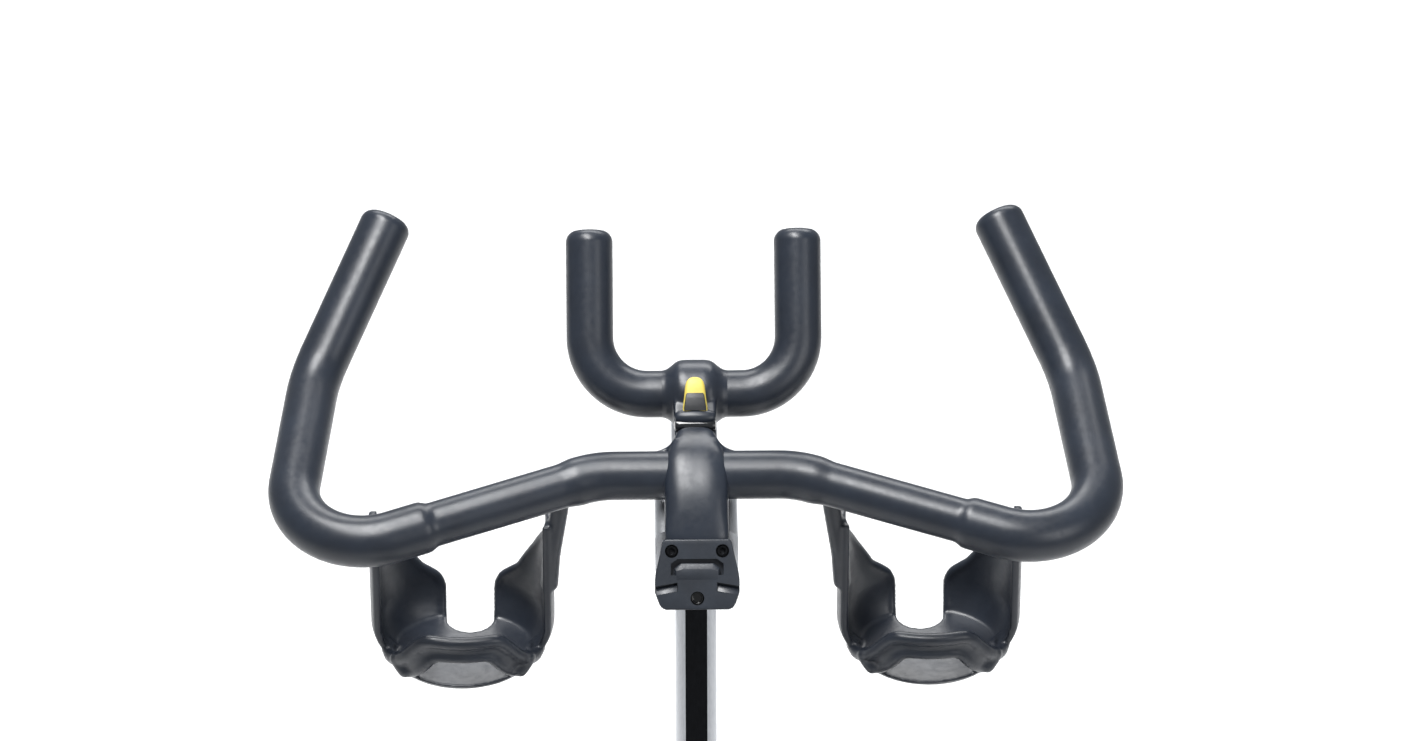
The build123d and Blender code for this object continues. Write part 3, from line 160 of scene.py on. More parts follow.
def loft_points(loops, closed=False):
    """Points and faces that join equal loops, with both ends filled."""
    count = len(loops[0])
    points = [p for loop in loops for p in loop]
    faces = []
    rows = len(loops)
    for row in range(rows if closed else rows - 1):
        a = row * count
        b = ((row + 1) % rows) * count
        for k in range(count):
            j = (k + 1) % count
            faces.append((a + k, a + j, b + j, b + k))
    if not closed:
        faces.append(tuple(reversed(range(count))))
        faces.append(tuple(range((rows - 1) * count, rows * count)))
    return points, faces


def loft(name, loops, closed=False):
    return mesh_object(name, *loft_points(loops, closed))


def tube_loops(points, radius_at, segments=32, first_side=(0, 0, 1)):
    """Round loops along a route; radius_at takes the distance along it."""
    loops = []
    distance = 0
    frames = route_frames(points, first_side)
    for i, (point, (side, other)) in enumerate(zip(points, frames)):
        if i:
            distance += (point - points[i - 1]).length
        radius = radius_at(distance)
        loop = []
        for k in range(segments):
            angle = 2 * math.pi * k / segments
            loop.append(point + (side * math.cos(angle) + other * math.sin(angle)) * radius)
        loops.append(loop)
    return loops


def band_loops(points, outline, first_side=(0, 0, 1)):
    """Loops of a flat outline along a route; the outline's first axis is the side direction."""
    loops = []
    for point, (side, other) in zip(points, route_frames(points, first_side)):
        loops.append([point + side * (u * MM) + other * (v * MM) for u, v in outline])
    return loops


def rounded_outline(width, height, radius, per_corner=5):
    """A rectangle with round corners, centred."""
    outline = []
    for quarter in range(4):
        sign_u = 1 if quarter in (0, 3) else -1
        sign_v = 1 if quarter in (0, 1) else -1
        for k in range(per_corner + 1):
            angle = (quarter + k / per_corner) * math.pi / 2
            outline.append((
                sign_u * (width / 2 - radius) + radius * math.cos(angle),
                sign_v * (height / 2 - radius) + radius * math.sin(angle),
            ))
    return outline


def rounded_end(distance, total, radius, fillet):
    """A tube's radius that rounds off over its last stretch."""
    left = min(distance, total - distance)
    if left >= fillet:
        return radius
    left = max(left, 0)
    return radius - fillet + math.sqrt(max(fillet ** 2 - (fillet - left) ** 2, 0))


def route_length(points):
    return sum((b - a).length for a, b in zip(points, points[1:]))


def finer_ends(points, reach, step):
    """The same route with closer points near both ends."""
    total = route_length(points)
    marks = [k * step for k in range(int(reach / step) + 1)]
    distances = marks + [total - m for m in marks]
    walked = 0
    for a, b in zip(points, points[1:]):
        walked += (b - a).length
        if reach + step / 2 < walked < total - reach - step / 2:
            distances.append(walked)
    result = []
    for target in sorted(set(round(d, 7) for d in distances)):
        walked = 0
        for a, b in zip(points, points[1:]):
            span = (b - a).length
            if walked + span >= target - 1e-9:
                result.append(a.lerp(b, min(max((target - walked) / span, 0), 1)))
                break
            walked += span
        else:
            result.append(points[-1].copy())
    return result


def prism_x(name, outline, low_x, high_x):
    """A plate across the bike from (Y, Z) points in metres."""
    loops = [[Vector((x, y, z)) for y, z in outline] for x in (low_x, high_x)]
    return loft(name, loops)


def revolve(name, profile, centre, axis, segments=64):
    """A solid of revolution from (along, radius) pairs in metres. A zero radius closes it."""
    axis = Vector(axis).normalized()
    side = axis.orthogonal().normalized()
    other = axis.cross(side)
    loops = []
    for along, radius in profile:
        loop = []
        for k in range(segments):
            angle = 2 * math.pi * k / segments
            spoke = (side * math.cos(angle) + other * math.sin(angle)) * max(radius, 1e-6)
            loop.append(Vector(centre) + axis * along + spoke)
        loops.append(loop)
    return loft(name, loops)


def evaluated(obj):
    """Bakes the object's modifiers into its mesh."""
    graph = bpy.context.evaluated_depsgraph_get()
    graph.update()
    mesh = bpy.data.meshes.new_from_object(obj.evaluated_get(graph))
    obj.modifiers.clear()
    old = obj.data
    obj.data = mesh
    mesh.name = obj.name
    bpy.data.meshes.remove(old)
    return obj


def bevel(obj, width, segments=3, angle=30):
    """Rounds the object's sharp edges, with the width in millimetres."""
    modifier = obj.modifiers.new("bevel", "BEVEL")
    modifier.width = width * MM
    modifier.segments = segments
    modifier.limit_method = "ANGLE"
    modifier.angle_limit = math.radians(angle)
    return evaluated(obj)


def subdivided(obj, levels=1):
    modifier = obj.modifiers.new("subdivision", "SUBSURF")
    modifier.levels = levels
    modifier.render_levels = levels
    return evaluated(obj)


def boolean(obj, other, operation):
    """Cuts or adds another mesh, which is used up."""
    modifier = obj.modifiers.new("boolean", "BOOLEAN")
    modifier.operation = operation
    modifier.solver = "EXACT"
    modifier.object = other
    evaluated(obj)
    bpy.data.objects.remove(other)
    return obj


def joined(name, objects):
    """Several meshes as one object."""
    points = []
    faces = []
    for obj in objects:
        start = len(points)
        points.extend(v.co.copy() for v in obj.data.vertices)
        faces.extend(tuple(start + i for i in face.vertices) for face in obj.data.polygons)
        bpy.data.objects.remove(obj)
    mesh = bpy.data.meshes.new(name)
    mesh.from_pydata([tuple(p) for p in points], [], faces)
    made = bpy.data.objects.new(name, mesh)
    bpy.context.scene.collection.objects.link(made)
    return made


def fused(name, objects, voxel, rounds):
    """Overlapping closed meshes melted into one smooth skin. The voxel size is in millimetres."""
    made = joined(name, objects)
    remesh = made.modifiers.new("remesh", "REMESH")
    remesh.mode = "VOXEL"
    remesh.voxel_size = voxel * MM
    if rounds:
        smooth = made.modifiers.new("smooth", "SMOOTH")
        smooth.factor = 0.5
        smooth.iterations = rounds
    return evaluated(made)


def shade_smooth(obj, angle=35):
    """Smooth shading, with sharp edges kept where faces meet at more than `angle` degrees."""
    mesh = obj.data
    mesh.polygons.foreach_set("use_smooth", [True] * len(mesh.polygons))
    built = bmesh.new()
    built.from_mesh(mesh)
    limit = math.radians(angle)
    for edge in built.edges:
        edge.smooth = len(edge.link_faces) != 2 or edge.calc_face_angle(0) < limit
    built.to_mesh(mesh)
    built.free()
    return obj


def finish_piece(obj, body, slot, angle, replaces=(), material=None):
    """Shades a piece, gives it its material (the slot's own by default) and ties it to its body."""
    shade_smooth(obj, angle)
    obj.data.materials.clear()
    obj.data.materials.append(material or MATERIALS[slot])
    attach(obj, body)
    if replaces:
        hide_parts(*replaces)
    return obj


def mirrored(obj, name):
    """A copy on the other side of the bike."""
    mesh = obj.data.copy()
    mesh.transform(Matrix.Scale(-1, 4, (1, 0, 0)))
    mesh.flip_normals()
    mesh.name = name
    made = bpy.data.objects.new(name, mesh)
    bpy.context.scene.collection.objects.link(made)
    return made


# ---- materials ----
def linear(red, green, blue):
    """A colour given as 0 to 255 screen values, made linear."""
    shares = [c / 255 for c in (red, green, blue)]
    return tuple(((c + 0.055) / 1.055) ** 2.4 if c > 10 / 255 else c / 12.92 for c in shares) + (1,)


def new_material(name, colour, roughness, **sockets):
    """A principled material with its constant values on the shader's own sockets."""
    material = bpy.data.materials.new(name)
    material.use_nodes = True
    shader = material.node_tree.nodes["Principled BSDF"]
    shader.inputs["Base Color"].default_value = linear(*colour)
    shader.inputs["Roughness"].default_value = roughness
    for socket, value in sockets.items():
        shader.inputs[socket.replace("_", " ")].default_value = value
    return material


def add_node(material, kind, **inputs):
    """A node of that kind. An input may be a value or another node's output."""
    tree = material.node_tree
    node = tree.nodes.new(kind)
    for key, value in inputs.items():
        socket = node.inputs[key.replace("_", " ")]
        if isinstance(value, bpy.types.NodeSocket):
            tree.links.new(value, socket)
        else:
            socket.default_value = value
    return node


def place(material, scale=(1, 1, 1), shift=(0, 0, 0)):
    """Object coordinates, in metres, shifted and then stretched."""
    source = add_node(material, "ShaderNodeTexCoord").outputs["Object"]
    moved = add_node(material, "ShaderNodeVectorMath")
    moved.operation = "ADD"
    material.node_tree.links.new(source, moved.inputs[0])
    moved.inputs[1].default_value = shift
    return add_node(material, "ShaderNodeMapping", Vector=moved.outputs[0], Scale=scale).outputs["Vector"]


def noise(material, grains_per_metre, detail=2, scale=(1, 1, 1)):
    node = add_node(
        material, "ShaderNodeTexNoise", Vector=place(material, scale), Scale=grains_per_metre, Detail=detail
    )
    return node.outputs["Fac"]


def ranged(material, value, low, high, from_low=0.3, from_high=0.7):
    node = add_node(material, "ShaderNodeMapRange", Value=value)
    node.inputs["From Min"].default_value = from_low
    node.inputs["From Max"].default_value = from_high
    node.inputs["To Min"].default_value = low
    node.inputs["To Max"].default_value = high
    return node.outputs["Result"]


def vary_colour(material, value, dark, light, from_low=0.35, from_high=0.65):
    """The base colour runs from dark to light with a pattern's value."""
    ramp = add_node(material, "ShaderNodeValToRGB", Fac=value)
    ramp.color_ramp.elements[0].position = from_low
    ramp.color_ramp.elements[1].position = from_high
    ramp.color_ramp.elements[0].color = linear(*dark)
    ramp.color_ramp.elements[1].color = linear(*light)
    shader = material.node_tree.nodes["Principled BSDF"]
    material.node_tree.links.new(ramp.outputs["Color"], shader.inputs["Base Color"])


def vary_roughness(material, value, low, high):
    shader = material.node_tree.nodes["Principled BSDF"]
    material.node_tree.links.new(ranged(material, value, low, high), shader.inputs["Roughness"])


def add_bump(material, height, strength, depth):
    """Raises the surface by a pattern, with the depth in millimetres. A second bump stacks on the first."""
    shader = material.node_tree.nodes["Principled BSDF"]
    before = shader.inputs["Normal"].links
    node = add_node(material, "ShaderNodeBump", Height=height, Strength=strength, Distance=depth * MM)
    if before:
        material.node_tree.links.new(before[0].from_socket, node.inputs["Normal"])
    material.node_tree.links.new(node.outputs["Normal"], shader.inputs["Normal"])


def cells(material, cells_per_metre, scale=(1, 1, 1)):
    """Distance to the nearest cell edge, for leather grain and spark-textured plastic."""
    node = material.node_tree.nodes.new("ShaderNodeTexVoronoi")
    node.feature = "DISTANCE_TO_EDGE"
    node.inputs["Scale"].default_value = cells_per_metre
    material.node_tree.links.new(place(material, scale), node.inputs["Vector"])
    return node.outputs["Distance"]


def rings(material, centre, rings_per_metre):
    """Fine turned rings round an axle that runs across the bike."""
    spread = place(material, scale=(0, 1, 1), shift=tuple(-c for c in centre))
    length = add_node(material, "ShaderNodeVectorMath")
    length.operation = "LENGTH"
    material.node_tree.links.new(spread, length.inputs[0])
    node = material.node_tree.nodes.new("ShaderNodeTexNoise")
    node.noise_dimensions = "1D"
    node.inputs["Scale"].default_value = rings_per_metre
    node.inputs["Detail"].default_value = 3
    material.node_tree.links.new(length.outputs["Value"], node.inputs["W"])
    return node.outputs["Fac"]


def weave(material, threads_per_metre):
    """Crossed threads, as in webbing."""
    waves = []
    for direction in ("X", "DIAGONAL"):
        node = material.node_tree.nodes.new("ShaderNodeTexWave")
        node.bands_direction = direction
        node.inputs["Scale"].default_value = threads_per_metre
        node.inputs["Distortion"].default_value = 0.4
        material.node_tree.links.new(place(material), node.inputs["Vector"])
        waves.append(node.outputs["Fac"])
    both = material.node_tree.nodes.new("ShaderNodeMath")
    both.operation = "MULTIPLY"
    for k in range(2):
        material.node_tree.links.new(waves[k], both.inputs[k])
    return both.outputs[0]


def soft_touch(name, colour, shade, grain_depth):
    """Rubbery coating: slightly cloudy colour, pore-fine grain and soft highlights."""
    material = new_material(name, colour, 0.4, Specular_IOR_Level=0.5)
    cloud = noise(material, 38, 3)
    vary_colour(material, cloud, shade, colour)
    vary_roughness(material, noise(material, 260, 3), 0.3, 0.4)
    add_bump(material, noise(material, 2600, 2), 0.35, grain_depth)
    add_bump(material, noise(material, 240, 1), 0.2, grain_depth)
    return material


def grained_plastic(name, colour, shade, roughness):
    """Spark-textured injection moulding."""
    material = new_material(name, colour, roughness, Specular_IOR_Level=0.45)
    vary_colour(material, noise(material, 60, 4), shade, colour)
    vary_roughness(material, noise(material, 900, 2), roughness - 0.06, roughness + 0.08)
    add_bump(material, cells(material, 1500), 0.4, 0.03)
    add_bump(material, noise(material, 3200, 1), 0.25, 0.02)
    return material


def powder_coat(name, colour, shade):
    """Fine orange-peel powder coat."""
    material = new_material(name, colour, 0.42, Specular_IOR_Level=0.5)
    vary_colour(material, noise(material, 45, 4), shade, colour)
    vary_roughness(material, noise(material, 500, 3), 0.36, 0.5)
    add_bump(material, noise(material, 900, 3), 0.45, 0.06)
    add_bump(material, noise(material, 120, 1), 0.2, 0.08)
    return material


def brushed_metal(name, colour, shade, low, high, scale=(1, 1, 1), grain=900):
    """Metal with fine drawn lines along the short-scaled direction."""
    material = new_material(name, colour, low, Metallic=0.9)
    lines = noise(material, grain, 3, scale)
    vary_colour(material, lines, shade, colour, 0.2, 0.8)
    vary_roughness(material, lines, low, high)
    add_bump(material, lines, 0.25, 0.01)
    return material


def rubber(name, colour, shade):
    """Matt moulded rubber with a dusty bloom."""
    material = new_material(name, colour, 0.8, Specular_IOR_Level=0.3)
    vary_colour(material, noise(material, 70, 5), shade, colour)
    vary_roughness(material, noise(material, 150, 3), 0.68, 0.88)
    add_bump(material, noise(material, 1800, 3), 0.5, 0.04)
    return material


def turned_iron(name, centre):
    """Cast wheel with a turned face."""
    material = new_material(name, (150, 152, 156), 0.3, Metallic=1.0)
    face = rings(material, centre, 1400)
    vary_colour(material, face, (122, 124, 128), (168, 170, 174), 0.25, 0.75)
    vary_roughness(material, face, 0.22, 0.38)
    add_bump(material, face, 0.35, 0.02)
    return material


def leather(name, colour, shade):
    """Fine grained saddle cover with creases between its cells."""
    material = new_material(name, colour, 0.5, Specular_IOR_Level=0.45, Sheen_Weight=0.08)
    vary_colour(material, noise(material, 55, 5), shade, colour)
    grain = cells(material, 620)
    vary_roughness(material, noise(material, 420, 3), 0.42, 0.6)
    add_bump(material, ranged(material, grain, 0, 1, 0, 0.12), 0.5, 0.09)
    add_bump(material, noise(material, 2400, 2), 0.3, 0.03)
    return material


def webbing(name, colour, shade):
    material = new_material(name, colour, 0.75, Sheen_Weight=0.15)
    threads = weave(material, 320)
    vary_colour(material, threads, shade, colour, 0, 1)
    add_bump(material, threads, 0.7, 0.2)
    return material


def glossy(name, colour, shade):
    material = new_material(name, colour, 0.12, Coat_Weight=0.4, Coat_Roughness=0.08)
    vary_colour(material, noise(material, 80, 3), shade, colour)
    vary_roughness(material, noise(material, 300, 2), 0.09, 0.2)
    add_bump(material, noise(material, 150, 1), 0.1, 0.02)
    return material


flywheel_centre = joints["flywheel_spin"]["pos_m"]
crank_centre = joints["crank_spin"]["pos_m"]
MATERIALS = {
    "frame_paint": powder_coat("frame_powder_coat", (54, 58, 64), (46, 49, 55)),
    "silver_aluminium": brushed_metal(
        "silver_anodised", (214, 216, 219), (196, 198, 202), 0.34, 0.46, (1, 1, 0.04), 1100
    ),
    "black_anodised": brushed_metal("black_anodised", (26, 27, 30), (17, 18, 20), 0.36, 0.5, (1, 1, 0.05)),
    "bar_coating": soft_touch("bar_coating", (31, 37, 47), (27, 32, 41), 0.02),
    "holder_plastic": soft_touch("holder_plastic", (36, 41, 50), (31, 35, 43), 0.035),
    "moulded_plastic": grained_plastic("grained_plastic", (36, 41, 49), (31, 35, 42), 0.42),
    "gloss_plastic": glossy("gloss_plastic", (22, 24, 27), (14, 15, 18)),
    "accent_yellow": grained_plastic("yellow_accent", (208, 190, 92), (200, 180, 82), 0.42),
    "flywheel_iron": turned_iron("turned_iron", flywheel_centre),
    "bright_steel": brushed_metal("bright_steel", (196, 198, 202), (172, 175, 180), 0.2, 0.34),
    "forged_black": powder_coat("forged_black", (34, 35, 38), (26, 27, 30)),
    "belt_rubber": rubber("belt_rubber", (30, 30, 32), (22, 22, 24)),
    "foot_rubber": rubber("foot_rubber", (38, 38, 40), (29, 29, 31)),
    "saddle_cover": leather("saddle_cover", (40, 42, 46), (31, 33, 36)),
    "magnet_metal": brushed_metal("magnet_nickel", (186, 182, 172), (160, 156, 148), 0.25, 0.4),
}
STITCHING = webbing("stitching", (150, 153, 158), (118, 121, 126))
DARK_INLAY = grained_plastic("dark_inlay", (23, 25, 29), (18, 20, 23), 0.4)
WEBBING = webbing("strap_webbing", (34, 35, 38), (20, 21, 23))
for node in nodes.values():
    slot_name = node.data.materials[0].name.split(".")[0]
    node.data.materials.clear()
    node.data.materials.append(MATERIALS[slot_name])


# ---- handlebar tubes ----
BEND = (266, -64, -26)
HORN = ((247, 101, 7), (199, 187, 75))
MIDDLE_RUN = 64
GRIP_START = 0.535
GRIP_STEP = 7
MIDDLE_SLEEVE = 88 * MM
TUBE_STEP = 2.2
right_half = [on_bar(MIDDLE_RUN, 0, 0), on_bar(*BEND), *(on_bar(*point) for point in HORN)]
left_half = [Vector((-p.x, p.y, p.z)) for p in reversed(right_half)]
bar_points = rounded_route(
    left_half + right_half, [r * MM for r in (60, 48, 70, 70, 48, 60)], TUBE_STEP * MM
)
bar_points = finer_ends(bar_points, 9 * MM, 0.6 * MM)
bar_length = route_length(bar_points)
grip_point = right_half[0].lerp(right_half[1], GRIP_START)
walked = [0]
for a, b in zip(bar_points, bar_points[1:]):
    walked.append(walked[-1] + (b - a).length)
nearest = min(range(len(bar_points)), key=lambda i: (bar_points[i] - grip_point).length)
grip_at = bar_length - walked[nearest]


def bar_radius(distance):
    """The bar thickens softly into each grip, and its ends are round."""
    from_end = min(distance, bar_length - distance)
    grip = 1 - smooth_step(grip_at - GRIP_STEP * MM / 2, grip_at + GRIP_STEP * MM / 2, from_end)
    middle = 1 - smooth_step(MIDDLE_SLEEVE - 12 * MM, MIDDLE_SLEEVE, abs(distance - bar_length / 2))
    radius = (lerp(BAR_RADIUS, GRIP_RADIUS, float(grip)) + 1.3 * float(middle)) * MM
    return rounded_end(distance, bar_length, radius, 7 * MM)


handle = loft("handlebar_tube", tube_loops(bar_points, bar_radius, 44, (0, 1, 0)))
finish_piece(handle, "handlebar", "bar_coating", 60, ("main_bar", "hand_grips"))

AERO_HALF_WIDTH = 67.5
AERO_LENGTH = 107
aero_rise = math.radians(50)
aero_tip = (BOSS_Y + AERO_LENGTH * math.cos(aero_rise), BOSS_Z + AERO_LENGTH * math.sin(aero_rise))
aero_points = rounded_route(
    [
        on_bar(-AERO_HALF_WIDTH, *aero_tip),
        on_bar(-AERO_HALF_WIDTH, BOSS_Y, BOSS_Z),
        on_bar(AERO_HALF_WIDTH, BOSS_Y, BOSS_Z),
        on_bar(AERO_HALF_WIDTH, *aero_tip),
    ],
    [37 * MM, 37 * MM],
    TUBE_STEP * MM,
)
aero_points = finer_ends(aero_points, 9 * MM, 0.6 * MM)
aero_length = route_length(aero_points)
aero = loft(
    "aero_tube",
    tube_loops(aero_points, lambda d: rounded_end(d, aero_length, AERO_RADIUS * MM, 8 * MM), 44, (0, 1, 0)),
)
finish_piece(aero, "handlebar", "bar_coating", 60, ("aero_bar",))


# ---- stem ----
def rod_x(name, y, z, low_x, high_x, radius):
    """A closed rod across the bike, in millimetres from the bar's middle."""
    half = [(low_x * MM, 0), (low_x * MM, radius * MM), (high_x * MM, radius * MM), (high_x * MM, 0)]
    return revolve(name, half, on_bar(0, y, z), (1, 0, 0), 64)


def side_points(points):
    """Outline points given as (Y, Z) in millimetres from the bar's middle, in metres."""
    return [(BAR.y + y * MM, BAR.z + z * MM) for y, z in points]


NECK_HALF = 13.5
STEM_HALF = 20.5
DOCK_TOP = (-46, -17)
DOCK_TILT = math.radians(35)
DOCK_DEPTH = 13
dock_back = (DOCK_TOP[0] + DOCK_DEPTH * math.cos(DOCK_TILT), DOCK_TOP[1] - DOCK_DEPTH * math.sin(DOCK_TILT))


def hood_loop(y, z, half, lean):
    """A crowned section across the stem's hood; (y, z) is the middle of its top and `lean` its slope in degrees."""
    slope = math.radians(lean)
    depth = lerp(22, 12, float(smooth_step(2, -16, z)))
    down = Vector((0, math.sin(slope), -math.cos(slope)))
    loop = []
    for k in range(48):
        angle = 2 * math.pi * (k + 0.5) / 48
        u = abs(math.cos(angle)) ** 0.55 * math.copysign(half, math.cos(angle))
        v = (1 - abs(math.sin(angle)) ** 0.8 * math.copysign(1, math.sin(angle))) * depth / 2
        loop.append(on_bar(u, y, z) + down * (v * MM))
    return loop


# (Y, Z, half width, slope) of the hood's top line, from the lever over the bar and down to the dock.
HOOD = [
    (31, 15.9, 13.2, -24),
    (26, 18.6, 13.9, -16),
    (18, 20.4, 15.4, -7),
    (9, 20.9, 17.6, 2),
    (0, 20.1, 19.4, 12),
    (-9, 17.2, 20.3, 24),
    (-18, 12.0, STEM_HALF, 36),
    (-27, 5.0, STEM_HALF, 43),
    (-36, -4.2, STEM_HALF, 48),
    (-44.6, -15.4, STEM_HALF, 52),
    (-46.6, -19.6, STEM_HALF - 0.2, 55),
]


def curve_through(rows, steps):
    """Rows of numbers joined by a smooth curve, with `steps` rows for each gap."""
    rows = [np.array(row, float) for row in rows]
    padded_rows = [2 * rows[0] - rows[1], *rows, 2 * rows[-1] - rows[-2]]
    result = []
    for a, b, c, d in zip(padded_rows, padded_rows[1:], padded_rows[2:], padded_rows[3:]):
        for k in range(steps):
            t = k / steps
            result.append(0.5 * (2 * b + (c - a) * t + (2 * a - 5 * b + 4 * c - d) * t ** 2
                                 + (3 * b - a - 3 * c + d) * t ** 3))
    return result + [rows[-1]]


stem_core = [
    (22, -18),
    (-39, -18),
    (-39, dock_back[1] - 22),
    (dock_back[0] - 22 * math.tan(DOCK_TILT), dock_back[1] - 22),
    dock_back,
    (-42, -19),
    (-30, -4),
    (-12, 8),
    (14, 10),
]


def web_fillet(side):
    """The hollow curve from the neck's flank down to the top of the bar."""
    up = Vector((0, math.sin(DOCK_TILT), math.cos(DOCK_TILT)))
    away = Vector((0, math.cos(DOCK_TILT), -math.sin(DOCK_TILT)))
    loops = []
    for depth in (-1, 13):
        base = on_bar(0, 0, 0) + away * (depth * MM)
        loops.append([base + Vector((side * u * MM, 0, 0)) + up * (v * MM) for u, v in WEB_FILLET])
    return loft("web_fillet", loops)


WEB_FILLET = [(9, 6), (9, 24), (13.5, 24), (15.4, 21), (18, 18.4), (21.5, 16.6), (28, 14.6), (28, 6)]
neck = fused(
    "stem_skin",
    [
        web_fillet(-1),
        web_fillet(1),
        revolve(
            "neck_flares",
            [(x * MM, r * MM) for x, r in (
                (-24, 0), (-24, 14.6), (-18.5, 15.8), (-15.5, 17.8), (-13, 20), (-10.5, 21.6), (-7, 22.2),
                (7, 22.2), (10.5, 21.6), (13, 20), (15.5, 17.8), (18.5, 15.8), (24, 14.6), (24, 0)
            )],
            on_bar(0, BOSS_Y, BOSS_Z),
            (1, 0, 0),
        ),
        rod_x("neck_root", 0, 0, -25, 25, 13.8),
        prism_x(
            "neck_web",
            side_points([(0, -12), (30, -10), (BOSS_Y, -6), (BOSS_Y, 30), (50, 20), (30, 10), (0, 13)]),
            -NECK_HALF * MM,
            NECK_HALF * MM,
        ),
        loft("hood", [hood_loop(*section) for section in curve_through(HOOD, 4)]),
        bevel(prism_x("stem_core", side_points(stem_core), -(STEM_HALF - 0.4) * MM, (STEM_HALF - 0.4) * MM), 2, 3),
    ],
    1.0,
    7,
)
finish_piece(neck, "handlebar", "bar_coating", 60, ("stem",))


# ---- quick lever ----
LEVER_PIVOT = (39, 19.5)
blade_rise = math.radians(42)
along_blade = Vector((0, math.cos(blade_rise), math.sin(blade_rise)))
above_blade = Vector((0, -math.sin(blade_rise), math.cos(blade_rise)))


def blade_loops(sections):
    """Loops across the lever's blade, from (distance, half width, thickness, lift) in millimetres."""
    loops = []
    for distance, half_width, thickness, lift in sections:
        middle = on_bar(0, *LEVER_PIVOT) + along_blade * (distance * MM) + above_blade * (lift * MM)
        outline = rounded_outline(2 * half_width, thickness, thickness * 0.45)
        loops.append([middle + Vector((u * MM, 0, 0)) + above_blade * (v * MM) for u, v in outline])
    return loops


blade = loft("lever_blade", blade_loops([
    (-4, 7.6, 5, 1), (2, 8.1, 5.6, 1.4), (6, 7.8, 5.8, 1.8), (11, 7.1, 5.4, 2.2), (16, 6.6, 5, 2.6),
    (19, 6.2, 4.6, 2.9), (21.2, 5.5, 4, 3), (22.7, 4.5, 3.2, 3.1), (23.8, 3, 2, 3.1), (24.3, 1.4, 1, 3.1),
]))
finish_piece(blade, "fore_aft_lever", "accent_yellow", 50, ("fore_aft_lever",))
inlay = loft("lever_inlay", blade_loops([
    (2, 7.1, 1.5, 4.2), (3.5, 7.2, 1.6, 4.35), (6, 6.9, 1.7, 4.6), (10, 6.3, 1.6, 4.7), (12.4, 5.9, 1.4, 4.8),
    (13.5, 5.2, 0.8, 4.7),
]))
finish_piece(inlay, "fore_aft_lever", "gloss_plastic", 50, material=DARK_INLAY)


def barrel(name, half_length, radius, fullness, y, z, count=31):
    """A rounded bar across the bike. A low fullness makes it blunt, a high one pointed."""
    profile = []
    for x in np.linspace(-half_length, half_length, count):
        profile.append((x * MM, max(1 - (x / half_length) ** 2, 0) ** (fullness / 2) * radius * MM))
    return revolve(name, profile, on_bar(0, y, z), (1, 0, 0), 48)


cap = barrel("lever_cap", 13.5, 5.3, 0.55, 37.7, 18.7)
finish_piece(cap, "fore_aft_lever", "bar_coating", 50)
socket = barrel("lever_socket", 13.9, 4.6, 0.25, 35, 14.3)
finish_piece(socket, "handlebar", "gloss_plastic", 50)


# ---- console dock ----
dock_frame = Matrix.Translation(on_bar(0, *DOCK_TOP)) @ Matrix((
    (1, 0, 0, 0),
    (0, math.sin(DOCK_TILT), -math.cos(DOCK_TILT), 0),
    (0, math.cos(DOCK_TILT), math.sin(DOCK_TILT), 0),
    (0, 0, 0, 1),
))


def dock_prism(name, outline, low, high):
    """A block on the dock's face, from an outline in millimetres across and up, raised from low to high."""
    loops = [[dock_frame @ (Vector((u, v, w)) * MM) for u, v in outline] for w in (low, high)]
    return loft(name, loops)


def dock_disc(name, u, v, radius, low, high, sides=40):
    outline = []
    for k in range(sides):
        angle = 2 * math.pi * (k + 0.5) / sides
        outline.append((u + radius * math.cos(angle), v + radius * math.sin(angle)))
    return dock_prism(name, outline, low, high)


def both_sides(points):
    """An outline closed by its mirror image, from points down its right side."""
    return points + [(-u, v) for u, v in reversed(points)]


DOCK_HEIGHT = 45
SCREW = (16.2, -7.6)
HOLE_V = -37.8
plate = dock_prism(
    "dock_plate",
    both_sides([(20.5, 0), (22, -1.5), (23.6, -9), (26.4, -21), (27, -26), (27, -34), (25.6, -38),
                (24.3, -41.5), (22.8, -43.8), (20, -DOCK_HEIGHT)]),
    -DOCK_DEPTH,
    0,
)
plate = bevel(plate, 1.5, 4, 28)
boolean(plate, dock_prism("cut", both_sides([(12.6, -12.6), (16.8, -15.6), (16.8, -23)]), -5, 5), "DIFFERENCE")
for side in (-1, 1):
    slot_points = [(side * u, v) for u, v in ((12.6, -27.6), (28, -30.3), (28, -36), (12.6, -33.4))]
    boolean(plate, dock_prism("cut", slot_points, -4, 5), "DIFFERENCE")
    boolean(plate, dock_disc("cut", side * SCREW[0], SCREW[1], 4.3, -4.4, 5), "DIFFERENCE")
boolean(plate, dock_disc("cut", 0, HOLE_V, 4.4, -12.4, 5), "DIFFERENCE")
finish_piece(plate, "handlebar", "moulded_plastic", 30, ("console_dock",))

tongue = loft("dock_tongue", [
    [dock_frame @ (Vector((u, v, w)) * MM) for u, v in both_sides([
        (10.4 - inset, -15.3 - 3.4 * inset), (14.4 - inset, -18.6 - 1.4 * inset), (14.4 - inset, -26)
    ])]
    for w, inset in ((-6, 0), (-1.6, 0), (-1, 0.25), (0.05, 1.1))
])
tongue = bevel(tongue, 0.25, 2, 24)
finish_piece(tongue, "handlebar", "moulded_plastic", 30)
# Painted shade: a dark gloss cup at the bottom of the hole makes the hole read black.
well = dock_disc("hole_shade_well", 0, HOLE_V, 4.3, -12.2, -8.5)
well = bevel(boolean(well, dock_disc("cut", 0, HOLE_V, 3, -11, -8), "DIFFERENCE"), 0.3, 2, 40)
finish_piece(well, "handlebar", "gloss_plastic", 30)

